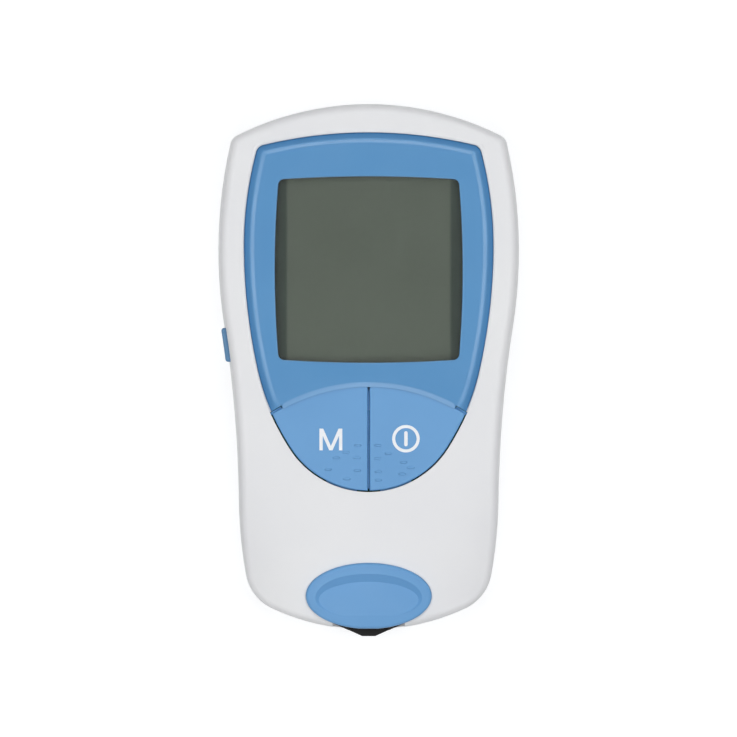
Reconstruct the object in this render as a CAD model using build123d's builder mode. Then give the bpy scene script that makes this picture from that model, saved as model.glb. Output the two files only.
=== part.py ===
from build123d import *
from math import cos, radians, sin, sqrt, tan
import os

os.makedirs("parts", exist_ok=True)

# Blood clotting meter lying on its back, in millimetres: +Z out of the display, +Y to the display end

# Case outline from above: shoulders, waist and hips are tangent arcs, the two ends are flat arcs
case_half_width = 39.0
case_wide_y = 31.0
case_top_y = 69.0
case_bottom_y = -67.4
case_top_radius = 76.0
case_bottom_radius = 59.4
case_top_corner = 3.2
case_bottom_corner = 12.0
shoulder_radius = 124.5
shoulder_sweep = 8.9
waist_radius = 318.0
waist_sweep = 8.2
hip_radius = 119.0
arc_overrun = 22.0
plan_reach = 6.0

# Case height: the crown falls towards both ends and towards the sides
case_depth = 28.0
foot_stand = 0.6
bezel_stand = 0.3
crown_stations = [
    # distance along the case, fall of the middle, further fall at the full half width
    (76.0, 1.9, 1.0),
    (40.0, 0.15, 0.5),
    (5.0, 0.15, 0.7),
    (-20.0, 1.4, 2.6),
    (-44.0, 5.0, 6.4),
    (-76.0, 15.0, 10.0),
]
crown_shares = [0.0, 0.4, 0.7, 0.92, 1.15]
crown_power = 4
crown_floor = -30.0
wall = 2.0
seam_z = 10.5
front_draft = 2.5
rear_draft = 3.0
front_edge_radius = 2.4
rear_edge_radius = 4.0
seam_lip = 1.2
seam_gap = 0.1
groove_height = 0.3
groove_depth = 0.35

# Blue display bezel and the two keys share one shield outline
face_border = 6.4
face_wide_y = 28.35
face_top_y = 62.3
face_top_radius = 101.5
face_corner = 1.7
face_side_radius = 147.6
face_side_sweep = 6.2
face_hip_radius = 76.7
face_hip_sweep = 25.9
face_gap = 0.1
bezel_seat_z = 25.2
seat_width = 2.0
seat_thickness = 1.4
seat_backing = 3.0
seat_gap = 0.15
bezel_gap = 0.2
bezel_slope_width = 1.1
bezel_slope_depth = 1.0
bezel_edge_radius = 1.0
bezel_lip_reach = 1.0
bezel_lip_drop = 0.05
view_edge_radius = 0.3

# Display opening, a barrel: both pairs of sides bulge
view_border = 9.4
view_bulge_x = 1.0
view_top_y = 49.1
view_bottom_y = 2.7
view_bulge_y = 0.8
view_corner = 1.3
window_overlap = 1.5
window_thickness = 1.0
window_depth = 0.95
window_gap = 0.1
gasket_width = 1.3
lcd_thickness = 2.0
lcd_margin = 2.3
lcd_gap = 0.12

# Keys: one arc parts them from the bezel, and a straight gap parts the two
key_arc_top_y = -3.3
key_arc_radius = 46.3
key_arc_gap = 0.15
key_side_gap = 0.26
key_middle_gap = 0.45
key_drop = 0.35
key_thickness = 2.4
key_edge_radius = 0.45
key_relief_length = 2.9
key_relief_gap = 0.6
key_pivot_y = -8.5
key_pivot_z = 21.6
key_pin_radius = 0.9
key_pin_clearance = 0.06
key_lug_x = 5.0
key_lug_pitch = 10.5
key_lug_width = 1.8
key_ear_gap = 0.8
key_ear_width = 2.0
key_ear_border = 1.0
key_snap_share = 0.8
key_press_x = 9.6
key_press_y = -18.0
key_post_radius = 2.0
key_stop_x = 3.0
key_stop_width = 8.0
key_stop_y = -22.0
key_stop_reach = 0.9
key_stop_thickness = 1.0
key_stop_gap = 0.15

# Measuring chamber cover: an oval lid hinged at its rear edge
cover_half_length = 15.8
cover_y = -58.4
cover_half_depth = 8.1
cover_front_y = -66.4
cover_overhang = 0.5
cover_gap = 0.25
cover_rim = 1.0
cover_plug = 2.6
cover_ledge = 2.0
cover_plug_gap = 0.9
cover_step = 0.5
cover_clearance = 0.12
cover_stand = 1.3
cover_shelf = 1.2
cover_hook_x = 3.6
cover_hook_width = 3.2
cover_hook_inner = 2.6
cover_hook_outer = 3.6
cover_hook_root = 1.2
cover_hook_gap = 0.3
cover_edge_radius = 0.9
cover_corner = 4.0
dish_y = -59.4
dish_half_length = 12.9
dish_half_depth = 4.75
dish_depth = 0.65
dish_slope = 9.5
dish_draft = 58.0
tub_clearance = 0.5
tub_wall = 1.2
tub_bottom_z = 13.3

# Strip guide, measuring block and what lies on it
nose_y = -69.0
nose_half_width = 9.2
nose_tip_half = 1.7
nose_shoulder_y = -65.6
guide_back_y = -57.5
guide_bottom_z = 8.4
guide_top_z = 13.1
guide_lip_z = 14.7
guide_lip_y = -64.9
strip_z = 11.6
strip_half_width = 4.3
strip_clearance = 0.15
funnel_flare = 1.2
nose_crest_y = -66.4
nose_tip_top_z = 12.7
nose_tip_bottom_z = 9.9
nose_heel_y = -67.0
block_half_width = 12.5
block_back_y = -38.5
block_top_z = 12.9
heater_half_width = 4.0
heater_length = 9.0
heater_thickness = 0.8
contact_count = 8
contact_pitch = 1.0
contact_width = 0.5
contact_length = 5.6
contact_thickness = 0.3
contact_rise = 0.7
contact_ramp = 2.1
contact_toe = 0.1
block_wall = 1.6
heater_setback = 2.6
peg_inset = 3.0
peg_radius = 1.2
block_peg_depth = 2.0

# Main board
board_z = 16.0
board_thickness = 1.6
board_inset = 1.2
board_gap = 0.4
board_top_y = 58.0
board_bottom_y = -36.0
frame_side = 1.0
frame_bar = 1.8
zebra_width = 1.5
zebra_edge = 0.2

# Battery bay: four cells side by side
cell_radius = 5.25
cell_length = 44.5
cell_nub_radius = 1.9
cell_nub_length = 0.9
cell_bevel = 0.5
cell_count = 4
cell_pitch = 11.2
bay_start_y = -9.0
bay_clearance = 0.3
bay_wall = 1.2
bay_roof = 1.2
contact_plate = 0.4
contact_plate_width = 8.4
spring_room = 3.6
leaf_width = 4.0
leaf_half_height = 3.6
leaf_thickness = 0.4

# Battery door
door_thickness = 1.4
door_overlap = 1.6
door_gap = 0.25
door_shelf = 1.5
door_corner = 2.5
door_hook_x = 14.0
door_hook_width = 8.0
door_hook_thickness = 1.2
door_hook_reach = 1.4
door_end = 5.2
door_hook_room = 3.8
door_hook_lift = 0.2
door_rib_width = 1.0
door_rib_height = 1.2
door_rib_inset = 4.0
latch_width = 14.0
latch_length = 7.0
latch_slot = 1.0
grip_count = 3
grip_pitch = 1.8
grip_width = 0.8
grip_depth = 0.4

# Screws and feet
screw_radius = 1.15
screw_clearance = 0.05
screw_hole_radius = 1.4
screw_head_radius = 2.3
screw_head_height = 1.7
screw_well_radius = 2.7
screw_bite = 8.0
screw_seat_z = 6.4
boss_radius = 3.0
boss_split_z = 9.0
boss_spots = [(7.8, 53.0), (14.0, -46.5)]
screw_tip_gap = 0.5
foot_radius = 4.0
foot_chamfer = 0.3
foot_recess = 0.6
foot_places = [(21.0, 52.6), (18.5, -52.0)]
post_radius = 1.6
clamp_spots = [(8.0, 38.0), (9.5, -18.0)]
deck_post_places = [(18.0, 2.0), (18.0, 34.0)]
floor_post_places = [(21.0, -30.0)]

# Side button
set_y = 6.5
set_z = 19.7
set_length = 8.8
set_height = 3.8
set_stand = 0.8
set_gap = 0.15
set_travel = 0.8
set_flange = 1.0
set_flange_border = 1.0
set_corner = 0.9
set_edge_radius = 0.7
set_slack = 0.5
set_plunger_radius = 1.1
set_plunger_depth = 0.7
set_switch_depth = 3.0
set_switch_height = 3.6

# Switches, buzzer and chips on the board
switch_width = 6.0
switch_height = 3.3
switch_bore = 1.8
plunger_radius = 1.5
plunger_clearance = 0.15
plunger_stand = 0.9
plunger_depth = 1.0
buzzer_place = (19.0, -26.5)
buzzer_radius = 6.0
buzzer_height = 3.2
buzzer_hole_radius = 1.0
buzzer_edge_radius = 0.5
upper_chips = [
    # x, y, width, length, height
    (0.0, 27.0, 12.0, 12.0, 1.4),
    (-14.0, 14.0, 6.0, 8.0, 1.1),
    (12.0, 12.0, 3.2, 7.0, 1.6),
    (14.0, 40.0, 8.0, 5.0, 1.2),
    (-12.0, 40.0, 3.0, 1.6, 0.8),
    (0.0, -27.0, 7.0, 7.0, 1.2),
    (-18.0, -27.0, 5.0, 5.0, 2.4),
]
lower_chips = [
    (-14.0, -22.0, 6.0, 6.0, 3.0),
    (-4.0, -20.0, 4.0, 6.0, 2.0),
    (8.0, -20.0, 8.0, 6.0, 1.4),
]

# Code chip slot and infrared window
chip_y = 17.0
chip_width = 12.4
chip_height = 2.6
chip_slot_z = 13.4
chip_socket_wall = 1.2
chip_socket_depth = 9.0
ir_half_width = 6.5
ir_bottom_z = 13.6
ir_top_z = 18.6
ir_inset = 0.25
ir_gap = 0.08
chip_contact_count = 6
chip_contact_pitch = 1.6
chip_contact_width = 0.8
chip_contact_height = 0.5
chip_contact_length = 6.0
transceiver_half_width = 4.0
transceiver_height = 2.4
transceiver_gap = 1.2
transceiver_overlap = 2.0
lens_radius = 1.1
lens_stand = 0.8

# Flex from the measuring block to the board
flex_half_width = 5.0
flex_thickness = 0.3
flex_low_z = 6.0
connector_length = 4.0
connector_height = 2.2
connector_margin = 1.0

# Heights and places that follow from the sizes above
face_half_width = case_half_width - face_border
view_half_width = face_half_width - view_border
boss_places = [(case_half_width - inset, y) for inset, y in boss_spots]
clamp_places = [(case_half_width - inset, y) for inset, y in clamp_spots]
case_peak_z = case_depth - bezel_stand
board_top_z = board_z + board_thickness
window_top_z = case_depth - bezel_stand - window_depth
window_bottom_z = window_top_z - window_thickness
lcd_top_z = bezel_seat_z - 0.2
lcd_bottom_z = lcd_top_z - lcd_thickness
key_arc_y = key_arc_top_y - key_arc_radius
bay_length = cell_length + spring_room + 2 * contact_plate
bay_end_y = bay_start_y + bay_length
bay_half_width = cell_pitch * (cell_count - 1) / 2 + cell_radius + bay_clearance
door_inner_z = foot_stand + door_thickness
cell_z = door_inner_z + bay_clearance + cell_radius
bay_top_z = cell_z + cell_radius + bay_clearance
deck_z = bay_top_z + bay_roof
channel_half = strip_half_width + strip_clearance
hook_sectors = [
    # inner radius, outer radius, first and last angle from +Y
    (cover_hook_root, cover_hook_outer, 205.0, 235.0),
    (cover_hook_inner, cover_hook_outer, 235.0, 300.0),
]


def case_plan(inset=0.0):
    """Outline of the case from above, pulled in by inset."""
    reach = case_half_width + plan_reach
    top_radius = case_top_radius - inset
    bottom_radius = case_bottom_radius - inset
    top_y = case_top_y - inset
    bottom_y = case_bottom_y + inset
    top_side_y = top_y - top_radius + sqrt(top_radius**2 - reach**2)
    bottom_side_y = bottom_y + bottom_radius - sqrt(bottom_radius**2 - reach**2)
    with BuildSketch(mode=Mode.PRIVATE) as plan:
        with BuildLine():
            widest = (case_half_width - inset, case_wide_y)
            upper = JernArc(widest, (0, 1), shoulder_radius - inset, arc_overrun)
            shoulder = JernArc(widest, (0, -1), shoulder_radius - inset, -shoulder_sweep)
            waist = JernArc(shoulder @ 1, shoulder % 1, waist_radius + inset, waist_sweep)
            hip = JernArc(waist @ 1, waist % 1, hip_radius - inset, -arc_overrun)
            Line(upper @ 1, (0, (upper @ 1).Y))
            Line(hip @ 1, (0, (hip @ 1).Y))
            mirror(about=Plane.YZ)
        make_face()
        with BuildLine():
            ThreePointArc((-reach, top_side_y), (0, top_y), (reach, top_side_y))
            Line((reach, top_side_y), (reach, bottom_side_y))
            ThreePointArc((reach, bottom_side_y), (0, bottom_y), (-reach, bottom_side_y))
            Line((-reach, bottom_side_y), (-reach, top_side_y))
        make_face(mode=Mode.INTERSECT)
        fillet(plan.vertices().group_by(Axis.Y)[-1], case_top_corner)
        fillet(plan.vertices().group_by(Axis.Y)[0], case_bottom_corner)
    return plan.sketch


def face_plan(grow=0.0):
    """Shield outline shared by the bezel and the keys, grown by an offset."""
    reach = face_half_width + plan_reach
    top_radius = face_top_radius + grow
    top_y = face_top_y + grow
    top_side_y = top_y - top_radius + sqrt(top_radius**2 - reach**2)
    low_y = face_wide_y - 3 * face_half_width
    with BuildSketch(mode=Mode.PRIVATE) as plan:
        with BuildLine():
            widest = (face_half_width + grow, face_wide_y)
            upper = JernArc(widest, (0, 1), face_side_radius + grow, arc_overrun)
            side = JernArc(widest, (0, -1), face_side_radius + grow, -face_side_sweep)
            hip = JernArc(side @ 1, side % 1, face_hip_radius + grow, -face_hip_sweep)
            turned = face_side_sweep + face_hip_sweep
            tip_radius = (hip @ 1).X / cos(radians(turned))
            JernArc(hip @ 1, hip % 1, tip_radius, turned - 90)
            Line(upper @ 1, (0, (upper @ 1).Y))
            mirror(about=Plane.YZ)
        make_face()
        with BuildLine():
            ThreePointArc((-reach, top_side_y), (0, top_y), (reach, top_side_y))
            Polyline((reach, top_side_y), (reach, low_y), (-reach, low_y), (-reach, top_side_y))
        make_face(mode=Mode.INTERSECT)
        fillet(plan.vertices().group_by(Axis.Y)[-1], face_corner)
    return plan.sketch


def view_plan(grow=0.0):
    """Barrel outline of the display opening, grown by an offset: four wide circles overlap."""
    middle_y = (view_top_y + view_bottom_y) / 2
    half_height = (view_top_y - view_bottom_y) / 2
    end_radius = (view_half_width**2 + view_bulge_y**2) / (2 * view_bulge_y)
    side_radius = (half_height**2 + view_bulge_x**2) / (2 * view_bulge_x)
    end_reach = half_height + view_bulge_y - end_radius
    side_reach = view_half_width + view_bulge_x - side_radius
    with BuildSketch(mode=Mode.PRIVATE) as plan:
        with Locations((0, middle_y + end_reach)):
            Circle(end_radius + grow)
        with Locations((0, middle_y - end_reach)):
            Circle(end_radius + grow, mode=Mode.INTERSECT)
        with Locations((side_reach, middle_y)):
            Circle(side_radius + grow, mode=Mode.INTERSECT)
        with Locations((-side_reach, middle_y)):
            Circle(side_radius + grow, mode=Mode.INTERSECT)
        fillet(plan.vertices(), view_corner)
    return plan.sketch


def cover_plan(grow=0.0, corner=0.0):
    """Oval outline of the chamber cover, its front flattened, grown by an offset."""
    with BuildSketch(mode=Mode.PRIVATE) as plan:
        with Locations((0, cover_y)):
            Ellipse(cover_half_length + grow, cover_half_depth + grow)
        with Locations((0, cover_front_y - grow)):
            Rectangle(4 * cover_half_length, 2 * cover_half_depth, align=(Align.CENTER, Align.MAX),
                      mode=Mode.SUBTRACT)
        if corner:
            fillet(plan.vertices().group_by(Axis.Y)[0], corner)
    return plan.sketch


def key_side_plan(grow=0.0):
    """Disc whose top arc parts the keys from the bezel."""
    with BuildSketch(mode=Mode.PRIVATE) as plan:
        with Locations((0, key_arc_y)):
            Circle(key_arc_radius + grow)
    return plan.sketch


def relief_plan():
    """Both outer ends of the key arc, where the keys stand further off the bezel."""
    with BuildSketch(mode=Mode.PRIVATE) as field:
        add(face_plan(-key_side_gap))
        add(key_side_plan(-key_arc_gap), mode=Mode.INTERSECT)
    relief_x = max(corner.X for corner in field.vertices()) - key_relief_length
    with BuildSketch(mode=Mode.PRIVATE) as plan:
        add(key_side_plan())
        with Locations((0, key_press_y)):
            Rectangle(2 * relief_x, 2 * case_half_width, mode=Mode.SUBTRACT)
    return plan.sketch


def disc_plan(places, radius):
    """Equal discs at each place and at its mirror image."""
    with BuildSketch(mode=Mode.PRIVATE) as plan:
        for x, y in places:
            with Locations((x, y), (-x, y)):
                Circle(radius)
    return plan.sketch


def crown_under(lift=0.0):
    """Everything under the crown of the case, with the crown lifted."""
    spots = [case_half_width * share for share in crown_shares]
    with BuildPart(mode=Mode.PRIVATE) as under:
        for y, fall, side_fall in crown_stations:
            top = case_peak_z - fall + lift
            half = [(x, top - side_fall * (x / case_half_width)**crown_power) for x in spots]
            with BuildSketch(Plane.XZ.offset(-y)):
                with BuildLine():
                    arch = Spline(*[(-x, z) for x, z in reversed(half)], *half[1:])
                    Polyline(arch @ 1, (half[-1][0], crown_floor), (-half[-1][0], crown_floor), arch @ 0)
                make_face()
        loft()
    return under.part


def raised(plan, base_z, lift=0.0, taper=0.0):
    """A plan extruded from a base height up to the crown."""
    with BuildPart(mode=Mode.PRIVATE) as block:
        with BuildSketch(Plane.XY.offset(base_z)):
            add(plan)
        extrude(amount=case_depth + foot_stand - base_z, taper=taper)
        add(crown_under(lift), mode=Mode.INTERSECT)
    return block.part


def plain(plan, base_z, height):
    """A plan extruded between two heights."""
    with BuildPart(mode=Mode.PRIVATE) as block:
        with BuildSketch(Plane.XY.offset(base_z)):
            add(plan)
        extrude(amount=height)
    return block.part


def both(plan, other, mode):
    """Two plans combined into one."""
    with BuildSketch(mode=Mode.PRIVATE) as joined:
        add(plan)
        add(other, mode=mode)
    return joined.sketch


def block_between(low, high):
    """A box between two corners."""
    with BuildPart(mode=Mode.PRIVATE) as solid:
        with Locations(tuple((a + b) / 2 for a, b in zip(low, high))):
            Box(*[b - a for a, b in zip(low, high)])
    return solid.part


def side_x(y, z, inset=0.0):
    """Half width of the front housing's wall at a place and a height."""
    across = Edge.make_line((0, y), (2 * case_half_width, y))
    crossing = case_plan().face().intersect(across)
    reach = max(corner.X for edge in crossing for corner in edge.vertices())
    return reach - (z - seam_z) * tan(radians(front_draft)) - inset


def crown_z(y):
    """Height of the crown on the middle line."""
    upright = Edge.make_line((0, y, 0), (0, y, 2 * case_depth))
    crossing = crown_under().intersect(upright)
    return max(corner.Z for edge in crossing for corner in edge.vertices())


def export(part, name):
    part.label = name
    export_step(part, f"parts/{name}.step")


# Front housing: crowned shell with the bezel seat, screw bosses, chamber tub and side openings
set_wall_x = side_x(set_y, set_z)
chip_wall_x = side_x(chip_y, chip_slot_z)
hinge_y = cover_y + cover_half_depth + cover_overhang
hinge_z = crown_z(hinge_y) + cover_clearance
tub_outline = both(cover_plan(tub_clearance + tub_wall), case_plan(wall / 2), Mode.INTERSECT)
key_mouth = both(face_plan(face_gap), key_side_plan(), Mode.INTERSECT)
shelf_drop = cover_rim + cover_gap + cover_shelf
shell_outer = raised(case_plan(), seam_z, 0.0, front_draft)
nose_mouth = block_between((-nose_half_width - face_gap, nose_y - wall, guide_bottom_z - face_gap),
                           (nose_half_width + face_gap, guide_lip_y + wall, case_depth))

with BuildPart() as front_void:
    add(raised(case_plan(wall), seam_z, -wall, front_draft))
    with BuildSketch(Plane.XY.offset(bezel_seat_z - seat_thickness)):
        add(face_plan(seat_backing))
    extrude(amount=case_depth, mode=Mode.SUBTRACT)
    with BuildSketch(Plane.XY.offset(seam_z)):
        add(disc_plan(boss_places, boss_radius))
    extrude(amount=case_depth, mode=Mode.SUBTRACT)
    with BuildSketch(Plane.XY.offset(board_top_z)):
        add(disc_plan(clamp_places, post_radius))
    extrude(amount=case_depth, mode=Mode.SUBTRACT)
    with BuildSketch(Plane.XY.offset(tub_bottom_z)):
        add(tub_outline)
    extrude(amount=case_depth, mode=Mode.SUBTRACT)

with BuildPart() as cover_pocket:
    add(plain(cover_plan(cover_gap), seam_z, case_depth))
    add(crown_under(-cover_rim - cover_gap), mode=Mode.SUBTRACT)

pocket_reach = cover_hook_outer + cover_hook_gap
pocket_width = cover_hook_width + 2 * cover_hook_gap
pocket_z = hinge_z - pocket_reach
with BuildPart() as hook_pockets:
    with BuildSketch(Plane.XY.offset(pocket_z)):
        with Locations((cover_hook_x, hinge_y), (-cover_hook_x, hinge_y)):
            Rectangle(pocket_width, 2 * cover_hook_inner)
    extrude(amount=pocket_reach)
    add(raised(case_plan(wall), seam_z, -wall), mode=Mode.INTERSECT)
    with BuildSketch(Plane.XY.offset(pocket_z)):
        with Locations((cover_hook_x, hinge_y), (-cover_hook_x, hinge_y)):
            Rectangle(pocket_width, 2 * pocket_reach)
        add(cover_plan(cover_gap), mode=Mode.INTERSECT)
    extrude(amount=case_depth)

with BuildPart() as front_housing:
    add(shell_outer)
    fillet(front_housing.faces().sort_by(Axis.Z)[-1].edges(), front_edge_radius)
    add(front_void.part, mode=Mode.SUBTRACT)
    with BuildSketch(Plane.XY.offset(seam_z - seam_lip)):
        add(case_plan(wall / 2 + seam_gap))
        add(case_plan(wall), mode=Mode.SUBTRACT)
    extrude(amount=seam_lip)
    with BuildSketch(Plane.XY.offset(boss_split_z)):
        add(disc_plan(boss_places, boss_radius))
    extrude(amount=seam_z - boss_split_z)
    add([plain(both(case_plan(-seam_gap), case_plan(groove_depth), Mode.SUBTRACT), seam_z, groove_height),
        plain(face_plan(face_gap), bezel_seat_z, case_depth),
        plain(both(face_plan(-seat_width), key_mouth, Mode.ADD), board_top_z, case_depth),
        raised(cover_plan(tub_clearance), seam_z, -shelf_drop),
        cover_pocket.part,
        plain(cover_plan(-cover_ledge), seam_z, case_depth),
        hook_pockets.part,
        nose_mouth,
        plain(disc_plan(boss_places, screw_radius + screw_clearance), boss_split_z, screw_bite)],
        mode=Mode.SUBTRACT)
    with BuildSketch(Plane.YZ.offset(-set_wall_x - wall)):
        with Locations((set_y, set_z)):
            RectangleRounded(set_length + 2 * set_gap, set_height + 2 * set_gap, set_corner)
    extrude(amount=3 * wall, mode=Mode.SUBTRACT)
    with BuildSketch(Plane.YZ.offset(chip_wall_x - 2 * wall)):
        with Locations((chip_y, chip_slot_z)):
            RectangleRounded(chip_width, chip_height, chip_height / 4)
    extrude(amount=4 * wall, mode=Mode.SUBTRACT)
    with BuildSketch(Plane.XZ.offset(-case_top_y + 2 * wall)):
        with Locations((0, (ir_bottom_z + ir_top_z) / 2)):
            Rectangle(2 * ir_half_width, ir_top_z - ir_bottom_z)
    extrude(amount=-4 * wall, mode=Mode.SUBTRACT)
export(front_housing.part, "front_housing")

# Rear housing: tray with the battery bay, its door opening, screw wells, posts and foot recesses
floor_z = foot_stand + wall
rear_height = seam_z - foot_stand
door_half_width = bay_half_width + door_overlap
door_start_y = bay_start_y - door_overlap - bay_wall
door_end_y = bay_end_y + door_end
shelf_z = door_inner_z + door_gap / 2
shelf_top_z = shelf_z + door_shelf

with BuildPart() as rear_void:
    with BuildSketch(Plane.XY.offset(seam_z)):
        add(case_plan(wall))
    extrude(amount=-(rear_height - wall), taper=rear_draft)
    fillet(rear_void.faces().sort_by(Axis.Z)[0].edges(), rear_edge_radius - wall)

with BuildPart() as rear_housing:
    with BuildSketch(Plane.XY.offset(seam_z)):
        add(case_plan())
    extrude(amount=-rear_height, taper=rear_draft)
    fillet(rear_housing.faces().sort_by(Axis.Z)[0].edges(), rear_edge_radius)
    add(rear_void.part, mode=Mode.SUBTRACT)
    with BuildSketch(Plane.XY.offset(seam_z)):
        add(case_plan(wall / 2))
    extrude(amount=-seam_lip - seam_gap, mode=Mode.SUBTRACT)
    add(block_between((-bay_half_width - bay_wall, bay_start_y - bay_wall, floor_z),
                      (bay_half_width + bay_wall, bay_end_y + bay_wall, deck_z)))
    add(block_between((-door_half_width - door_shelf, door_start_y - door_shelf, floor_z),
                      (door_half_width + door_shelf, door_end_y, shelf_top_z)))
    with BuildSketch(Plane.XY.offset(floor_z)):
        add(disc_plan(boss_places, screw_well_radius + bay_wall))
    extrude(amount=boss_split_z - floor_z)
    with BuildSketch(Plane.XY.offset(floor_z)):
        add(disc_plan(floor_post_places, post_radius))
    extrude(amount=board_z - floor_z)
    with BuildSketch(Plane.XY.offset(deck_z)):
        add(disc_plan(deck_post_places, post_radius))
    extrude(amount=board_z - deck_z)
    add(block_between((-bay_half_width, bay_start_y, foot_stand), (bay_half_width, bay_end_y, bay_top_z)),
        mode=Mode.SUBTRACT)
    with BuildSketch(Plane.XY.offset(foot_stand)):
        with Locations((0, (door_start_y + door_end_y) / 2)):
            RectangleRounded(2 * door_half_width, door_end_y - door_start_y, door_corner)
    extrude(amount=shelf_z - foot_stand, mode=Mode.SUBTRACT)
    with BuildSketch(Plane.XY.offset(foot_stand)):
        with Locations((door_hook_x, door_end_y), (-door_hook_x, door_end_y)):
            Rectangle(door_hook_width + 2 * door_gap, door_hook_room, align=(Align.CENTER, Align.MAX))
    extrude(amount=shelf_top_z, mode=Mode.SUBTRACT)
    with BuildSketch(Plane.XY.offset(foot_stand)):
        add(disc_plan(boss_places, screw_well_radius))
    extrude(amount=screw_seat_z - foot_stand, mode=Mode.SUBTRACT)
    with BuildSketch(Plane.XY.offset(foot_stand)):
        add(disc_plan(boss_places, screw_hole_radius))
    extrude(amount=boss_split_z, mode=Mode.SUBTRACT)
    with BuildSketch(Plane.XY.offset(foot_stand)):
        add(disc_plan(foot_places, foot_radius + face_gap))
    extrude(amount=foot_recess, mode=Mode.SUBTRACT)
    add(nose_mouth, mode=Mode.SUBTRACT)
export(rear_housing.part, "rear_housing")

# Display bezel: plateau with a sloped rim, and a rounded lip along the arc that covers the keys' rear edge
with BuildPart() as display_bezel:
    add(raised(face_plan(-bezel_gap), bezel_seat_z, bezel_stand))
    with BuildSketch(Plane.XY.offset(bezel_seat_z)):
        add(key_side_plan(-bezel_lip_reach))
        add(view_plan())
    extrude(amount=case_depth, mode=Mode.SUBTRACT)
    bezel_top = display_bezel.faces().sort_by(Axis.Z)[-1]
    middles = [(edge @ 0.5, edge) for edge in bezel_top.outer_wire().edges()]
    rim = [edge for middle, edge in middles if abs(middle.X) > key_stop_x or middle.Y > 0]
    chamfer(rim, bezel_slope_width, bezel_slope_depth, reference=bezel_top)
    fillet(display_bezel.faces().sort_by(Axis.Z)[-1].outer_wire().edges(), bezel_edge_radius)
    fillet(display_bezel.faces().sort_by(Axis.Z)[-1].inner_wires()[0].edges(), view_edge_radius)
    with BuildSketch(Plane.XY.offset(bezel_seat_z)):
        add(view_plan(window_overlap + window_gap))
    extrude(amount=window_top_z - bezel_seat_z, mode=Mode.SUBTRACT)
    add(raised(key_side_plan(), bezel_seat_z, -bezel_lip_drop), mode=Mode.SUBTRACT)
    add(plain(relief_plan(), bezel_seat_z, case_depth), mode=Mode.SUBTRACT)
export(display_bezel.part, "display_bezel")

with BuildPart() as display_window:
    with BuildSketch(Plane.XY.offset(window_bottom_z)):
        add(view_plan(window_overlap))
    extrude(amount=window_thickness)
export(display_window.part, "display_window")

with BuildPart() as display_gasket:
    with BuildSketch(Plane.XY.offset(lcd_top_z)):
        add(view_plan(window_overlap))
        add(view_plan(window_overlap - gasket_width), mode=Mode.SUBTRACT)
    extrude(amount=window_bottom_z - lcd_top_z)
export(display_gasket.part, "display_gasket")

lcd_half_width = view_half_width + view_bulge_x + lcd_margin
lcd_top_y = view_top_y + view_bulge_y + lcd_margin
lcd_bottom_y = view_bottom_y - view_bulge_y - lcd_margin
lcd_middle_y = (lcd_top_y + lcd_bottom_y) / 2
lcd_length = lcd_top_y - lcd_bottom_y

with BuildPart() as lcd_glass:
    with BuildSketch(Plane.XY.offset(lcd_bottom_z)):
        with Locations((0, lcd_middle_y)):
            Rectangle(2 * lcd_half_width, lcd_length)
    extrude(amount=lcd_thickness)
export(lcd_glass.part, "lcd_glass")

# Inner frame: holds the LCD glass and the zebra strips, and carries the key hinges in snap-in ears
frame_half_width = lcd_half_width + frame_side
frame_length = lcd_length + 2 * frame_side
zebra_inset = lcd_length / 2 - zebra_edge - zebra_width / 2
zebra_places = [(0, lcd_middle_y + zebra_inset), (0, lcd_middle_y - zebra_inset)]
frame_neck_z = bezel_seat_z - seat_thickness - seat_gap
ear_spread = key_lug_width + key_ear_gap + key_ear_width / 2
ear_places = [key_lug_x + ear_spread, key_lug_x + key_lug_pitch + key_lug_width - ear_spread]
ear_half_depth = key_pin_radius + key_ear_border
bar_end_y = key_pivot_y - ear_half_depth
bar_start_y = lcd_bottom_y - frame_side
bar_half_width = ear_places[1] + key_ear_width

with BuildPart() as frame_upper:
    with BuildSketch(Plane.XY.offset(frame_neck_z)):
        with Locations((0, lcd_middle_y)):
            Rectangle(2 * frame_half_width, frame_length)
        add(face_plan(-seat_width - seat_gap), mode=Mode.INTERSECT)
    extrude(amount=lcd_top_z - frame_neck_z)

with BuildPart() as lcd_frame:
    with BuildSketch(Plane.XY.offset(board_top_z)):
        with Locations((0, lcd_middle_y)):
            Rectangle(2 * frame_half_width, frame_length)
        with Locations((0, bar_start_y)):
            Rectangle(2 * bar_half_width, bar_start_y - bar_end_y, align=(Align.CENTER, Align.MAX))
    extrude(amount=frame_bar)
    with BuildSketch(Plane.XY.offset(board_top_z + frame_bar)):
        with Locations((0, lcd_middle_y)):
            Rectangle(2 * frame_half_width, frame_length)
    extrude(amount=frame_neck_z - board_top_z - frame_bar)
    add(frame_upper.part)
    with BuildSketch(Plane.XY.offset(lcd_bottom_z)):
        with Locations((0, lcd_middle_y)):
            Rectangle(2 * (lcd_half_width + lcd_gap), lcd_length + 2 * lcd_gap)
    extrude(amount=case_depth, mode=Mode.SUBTRACT)
    with BuildSketch(Plane.XY.offset(board_top_z)):
        add(view_plan())
        with Locations(zebra_places):
            Rectangle(2 * (view_half_width + lcd_gap), zebra_width + 2 * lcd_gap)
    extrude(amount=lcd_bottom_z - board_top_z, mode=Mode.SUBTRACT)
    with BuildSketch(Plane.XY.offset(board_top_z)):
        for x in ear_places:
            with Locations((x, key_pivot_y), (-x, key_pivot_y)):
                Rectangle(key_ear_width, 2 * ear_half_depth)
    extrude(amount=key_pivot_z + ear_half_depth - board_top_z)
    with BuildSketch(Plane.YZ.offset(-bar_half_width)):
        with Locations((key_pivot_y, key_pivot_z)):
            Circle(key_pin_radius + key_pin_clearance)
            Rectangle(key_snap_share * 2 * key_pin_radius, 2 * ear_half_depth,
                      align=(Align.CENTER, Align.MIN))
    extrude(amount=2 * bar_half_width, mode=Mode.SUBTRACT)
export(lcd_frame.part, "lcd_frame")

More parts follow.
